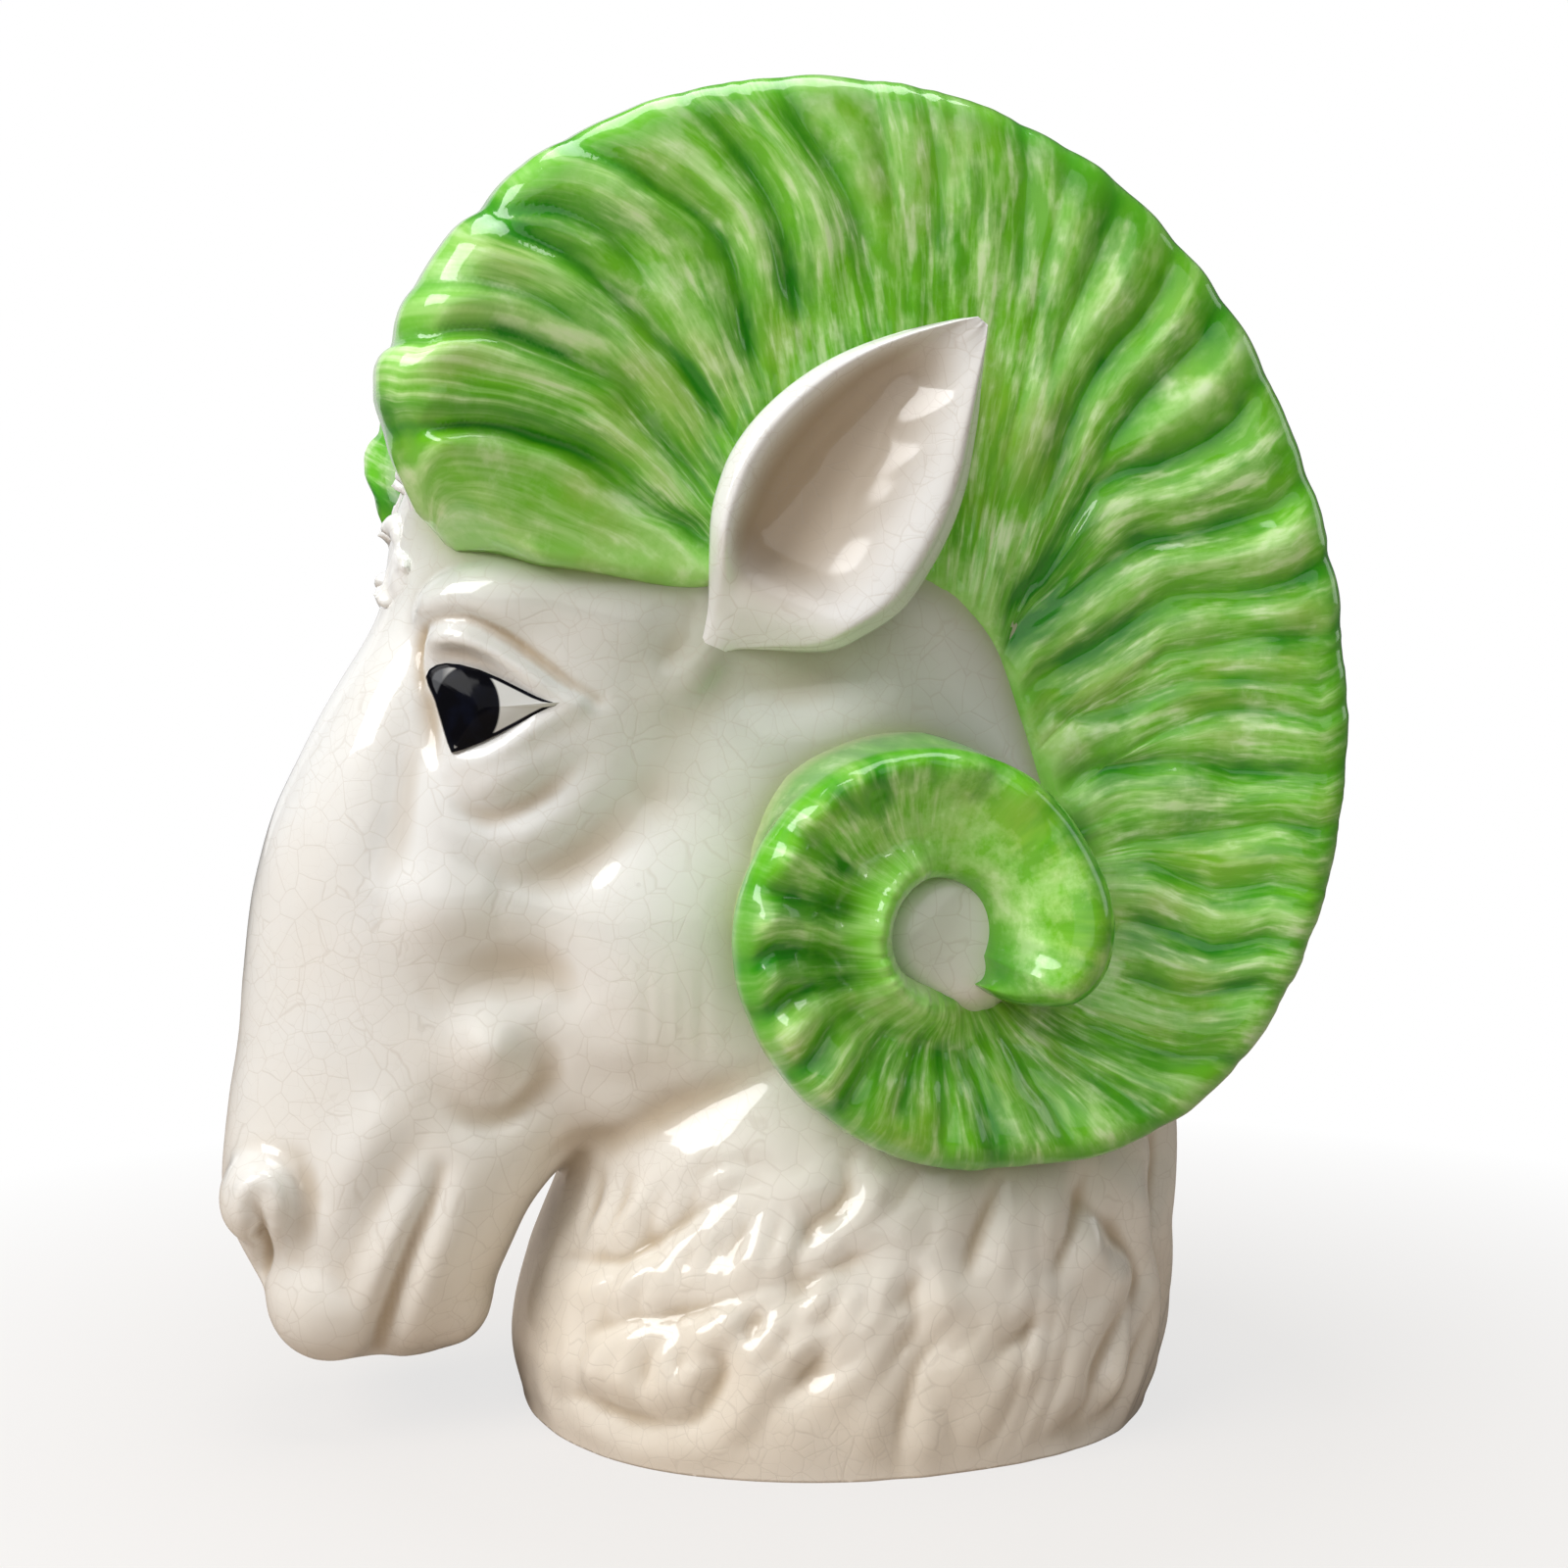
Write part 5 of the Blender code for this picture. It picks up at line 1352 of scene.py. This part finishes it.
# %% [markdown]
# ## Green glaze
# The green was brushed on over white and ran before it set: thin and pale on the crests, pooled and dark in
# the grooves, with brush streaks along the ridges and brownish patches. The crests are lightened further as
# a painted highlight, the grooves darkened further as painted shade, and a painted shadow lies along and
# under the coil's tip. The notes on the band give the streaks their direction.

# %% Green glaze
GREEN, PALE_GREEN = (0.190, 0.620, 0.020), (0.620, 0.940, 0.370)
OLIVE, POOL_AND_SHADE = (0.360, 0.500, 0.060), (0.018, 0.270, 0.000)
FROST, RIM_GREEN, WORN_EDGE = (0.760, 0.960, 0.560), (0.090, 0.460, 0.010), (0.640, 0.720, 0.380)

green = Finish("green_brushed_glaze")
spot = green.place()
strand, across = green.note("strand"), green.note("across")
groove_pool_and_shade, rim_band, crest = green.note("groove"), green.note("rim"), green.note("crest")
wall_band, coil_band = green.note("wall"), green.note("coil")
tip = green.note("tip")
streak = green.noise(green.vector(strand * 2.0, across * 45.0), 1.5, 3.0, 0.55)
hair = green.noise(green.vector(strand * 4.0, across * 70.0, 3.0), 2.0, 3.0, 0.55)
patch = green.noise(green.vector(strand * 0.8, across * 34.0, 7.0), 1.2, 3.0, 0.55)
cloud = green.noise(spot, 75.0, 5.0, 0.62)
blot = green.noise(spot, 40.0, 3.0, 0.50)
inside = across.above(0.002, 0.016)
brushed = (streak.above(0.44, 0.64) * 0.65 + hair.above(0.48, 0.72) * 0.15) * inside + (1 - inside) * 0.35
dabbed = cloud.above(0.44, 0.66)
# The crest term is a painted highlight on the crests of the rolls; the strokes and dabs are thin glaze.
thin = (brushed * (1 - tip * 0.8) + dabbed * (0.45 + tip * 0.45) + crest * 0.35 - 0.10).clamped()
thin = (thin * (1 - groove_pool_and_shade * 0.6)).clamped()
# Painted shadow on the tip's side wall, where it stands over the band below.
painted_tip_shadow = wall_band * tip
# The grooves hold darker green, partly as glaze pooling and partly as painted shade.
settled_and_shaded = groove_pool_and_shade * (0.35 + blot.above(0.42, 0.62) * 0.50 + cloud.above(0.40, 0.70) * 0.40)
pooled_and_shaded = (settled_and_shaded + painted_tip_shadow + (1 - patch.above(0.36, 0.54)) * inside * 0.45 - thin * 0.35).clamped()
olive = green.noise(spot, 34.0, 4.0).above(0.50, 0.66) * (1 - pooled_and_shaded)
tone = green.mix(thin, GREEN, PALE_GREEN)
tone = green.mix(olive * 0.35, tone, OLIVE)
tone = green.mix(pooled_and_shaded, tone, POOL_AND_SHADE)
streaky = streak.above(0.54, 0.68) * cloud.above(0.42, 0.58) * inside * (1 - tip)
frost = (streaky + cloud.above(0.60, 0.74) * 0.6).clamped()
tone = green.mix((frost * (1 - pooled_and_shaded) * 0.80).clamped(), tone, FROST)
tone = green.mix(rim_band * (0.25 + cloud * 0.5), tone, RIM_GREEN)
worn = (wall_band * coil_band).above(0.50, 1.0)
tone = green.mix(worn, tone, WORN_EDGE)
green.set(Base_Color=tone, **GLOSS)
green.bump(hair * 0.5 + cloud * 0.7, 0.10, 0.0008)
print("green glaze nodes", len(green.tree.nodes))

# %% [markdown]
# ## Eye paint
# Black and a thin wash of navy under clear glaze. The iris is an oval in the patch's own notes, so its edge
# stays crisp.

# %% Eye paint
paint = Finish("eye_paint")
iris_u, iris_v, rim_of_eye = paint.note("iris_u"), paint.note("iris_v"), paint.note("edge")
from_iris = (iris_u * iris_u + iris_v * iris_v) ** 0.5
iris = 1 - from_iris.above(0.97, 1.03)
line = rim_of_eye.above(0.885, 0.915)
wash = paint.noise(paint.place(), 160.0, 3.0)
corner = iris_u.above(0.2, 1.6)
pale = paint.mix(corner * 0.5 + wash * 0.2, (0.60, 0.60, 0.58), (0.74, 0.74, 0.72))
# Painted shade: the sclera left of the iris is darkened to near black.
painted_shade_left = 1 - iris_u.above(-0.8, -0.3)
pale = paint.mix(painted_shade_left * 0.95, pale, (0.055, 0.060, 0.070))
dark = paint.mix(wash.above(0.45, 0.7) * 0.5, (0.0035, 0.0035, 0.0050), (0.006, 0.008, 0.020))
tone = paint.mix((iris + line).clamped(), pale, dark)
paint.set(Base_Color=tone, Roughness=0.12, Coat_Weight=0.0, Specular_IOR_Level=0.07)
print("eye paint nodes", len(paint.tree.nodes))

# %% [markdown]
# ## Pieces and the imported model
# Each piece gets its finish and is tied to the solid that it shows. Nothing on a fired planter moves, so
# all of them ride on the root.

# %% Pieces to their nodes and finishes
PIECES = [
    (body, ["body_shell"], white, "white_glaze"),
    (horns[0], ["left_horn"], green, "green_glaze"),
    (horns[1], ["right_horn"], green, "green_glaze"),
    (ears[0], ["left_ear"], white, "white_glaze"),
    (ears[1], ["right_ear"], white, "white_glaze"),
    (eyes[0], ["left_eye"], paint, "eye_glaze"),
    (eyes[1], ["right_eye"], paint, "eye_glaze"),
    (forelock, ["forelock"], white, "white_glaze"),
]
for made, nodes, finish, slot in PIECES:
    made.data.materials.clear()
    made.data.materials.append(finish.material)
    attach(made, "root")
    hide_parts(*nodes)
print("pieces", len(PIECES))

# %% [markdown]
# ## Floor and light
# A plain white floor that keeps the shadow, and soft boxes as a product photographer sets them: a large one
# above and in front, a broad one on each side, one overhead, a weak one behind, and an even white room.

# %% Floor
floor_mesh = bpy.data.meshes.new("floor")
floor_mesh.from_pydata([(-6, -6, 0), (6, -6, 0), (6, 6, 0), (-6, 6, 0)], [], [(0, 1, 2, 3)])
floor = put("floor", floor_mesh)
ground_finish = Finish("floor_white")
spot = ground_finish.place()
distance = ground_finish.node("ShaderNodeVectorMath", {"operation": "LENGTH"}, {0: spot}, out="Value")
far = distance.above(0.13, 0.42)
seen = ground_finish.node("ShaderNodeLightPath", out="Is Camera Ray")
ground_finish.set(Base_Color=(0.46, 0.38, 0.31, 1.0), Roughness=0.9)
glow = ground_finish.node("ShaderNodeEmission", sockets={"Color": (1, 1, 1, 1), "Strength": 1.0})
lit = Wire(ground_finish.tree, ground_finish.shader.outputs[0])
mixed = ground_finish.node("ShaderNodeMixShader", sockets={0: (0.74 + 0.26 * far) * seen, 1: lit, 2: glow})
ground_finish.fill(ground_finish.tree.nodes["Material Output"], {0: mixed})
floor_mesh.materials.append(ground_finish.material)
print("floor laid")

# %% Room and lamps
room = bpy.data.worlds.new("room")
bpy.context.scene.world = room
room.use_nodes = True
room_nodes = Nodes(room.node_tree)
seen = room_nodes.node("ShaderNodeLightPath", out="Is Camera Ray")
backdrop = room.node_tree.nodes["Background"]
room_nodes.fill(backdrop, {"Color": (1.0, 1.0, 1.0, 1.0), "Strength": seen * 0.90 + 0.10})


def soft_box(name, place, aim, width, height, power):
    """A lamp behind a white cloth, turned to what it lights."""
    lamp = bpy.data.lights.new(name, "AREA")
    lamp.shape = "RECTANGLE"
    lamp.size, lamp.size_y = width, height
    lamp.energy = power
    made = bpy.data.objects.new(name, lamp)
    bpy.context.scene.collection.objects.link(made)
    made.location = place
    made.rotation_euler = (Vector(aim) - Vector(place)).to_track_quat("-Z", "Y").to_euler()
    made.visible_camera = False


soft_box("key", (0.40, -0.95, 0.85), (0.0, -0.02, 0.16), 0.75, 0.60, 11.0)
soft_box("fill", (1.20, -0.35, 0.70), (0.0, 0.0, 0.16), 1.50, 1.00, 4.5)
soft_box("overhead", (0.08, -0.05, 1.15), (0.0, 0.0, 0.16), 0.80, 0.60, 7.0)
soft_box("behind", (0.10, 1.10, 0.60), (0.0, 0.0, 0.18), 0.50, 0.60, 1.2)
soft_box("far side", (-1.20, -0.25, 0.70), (0.0, 0.0, 0.16), 1.50, 1.00, 3.0)
bpy.context.scene.view_settings.view_transform = "Standard"
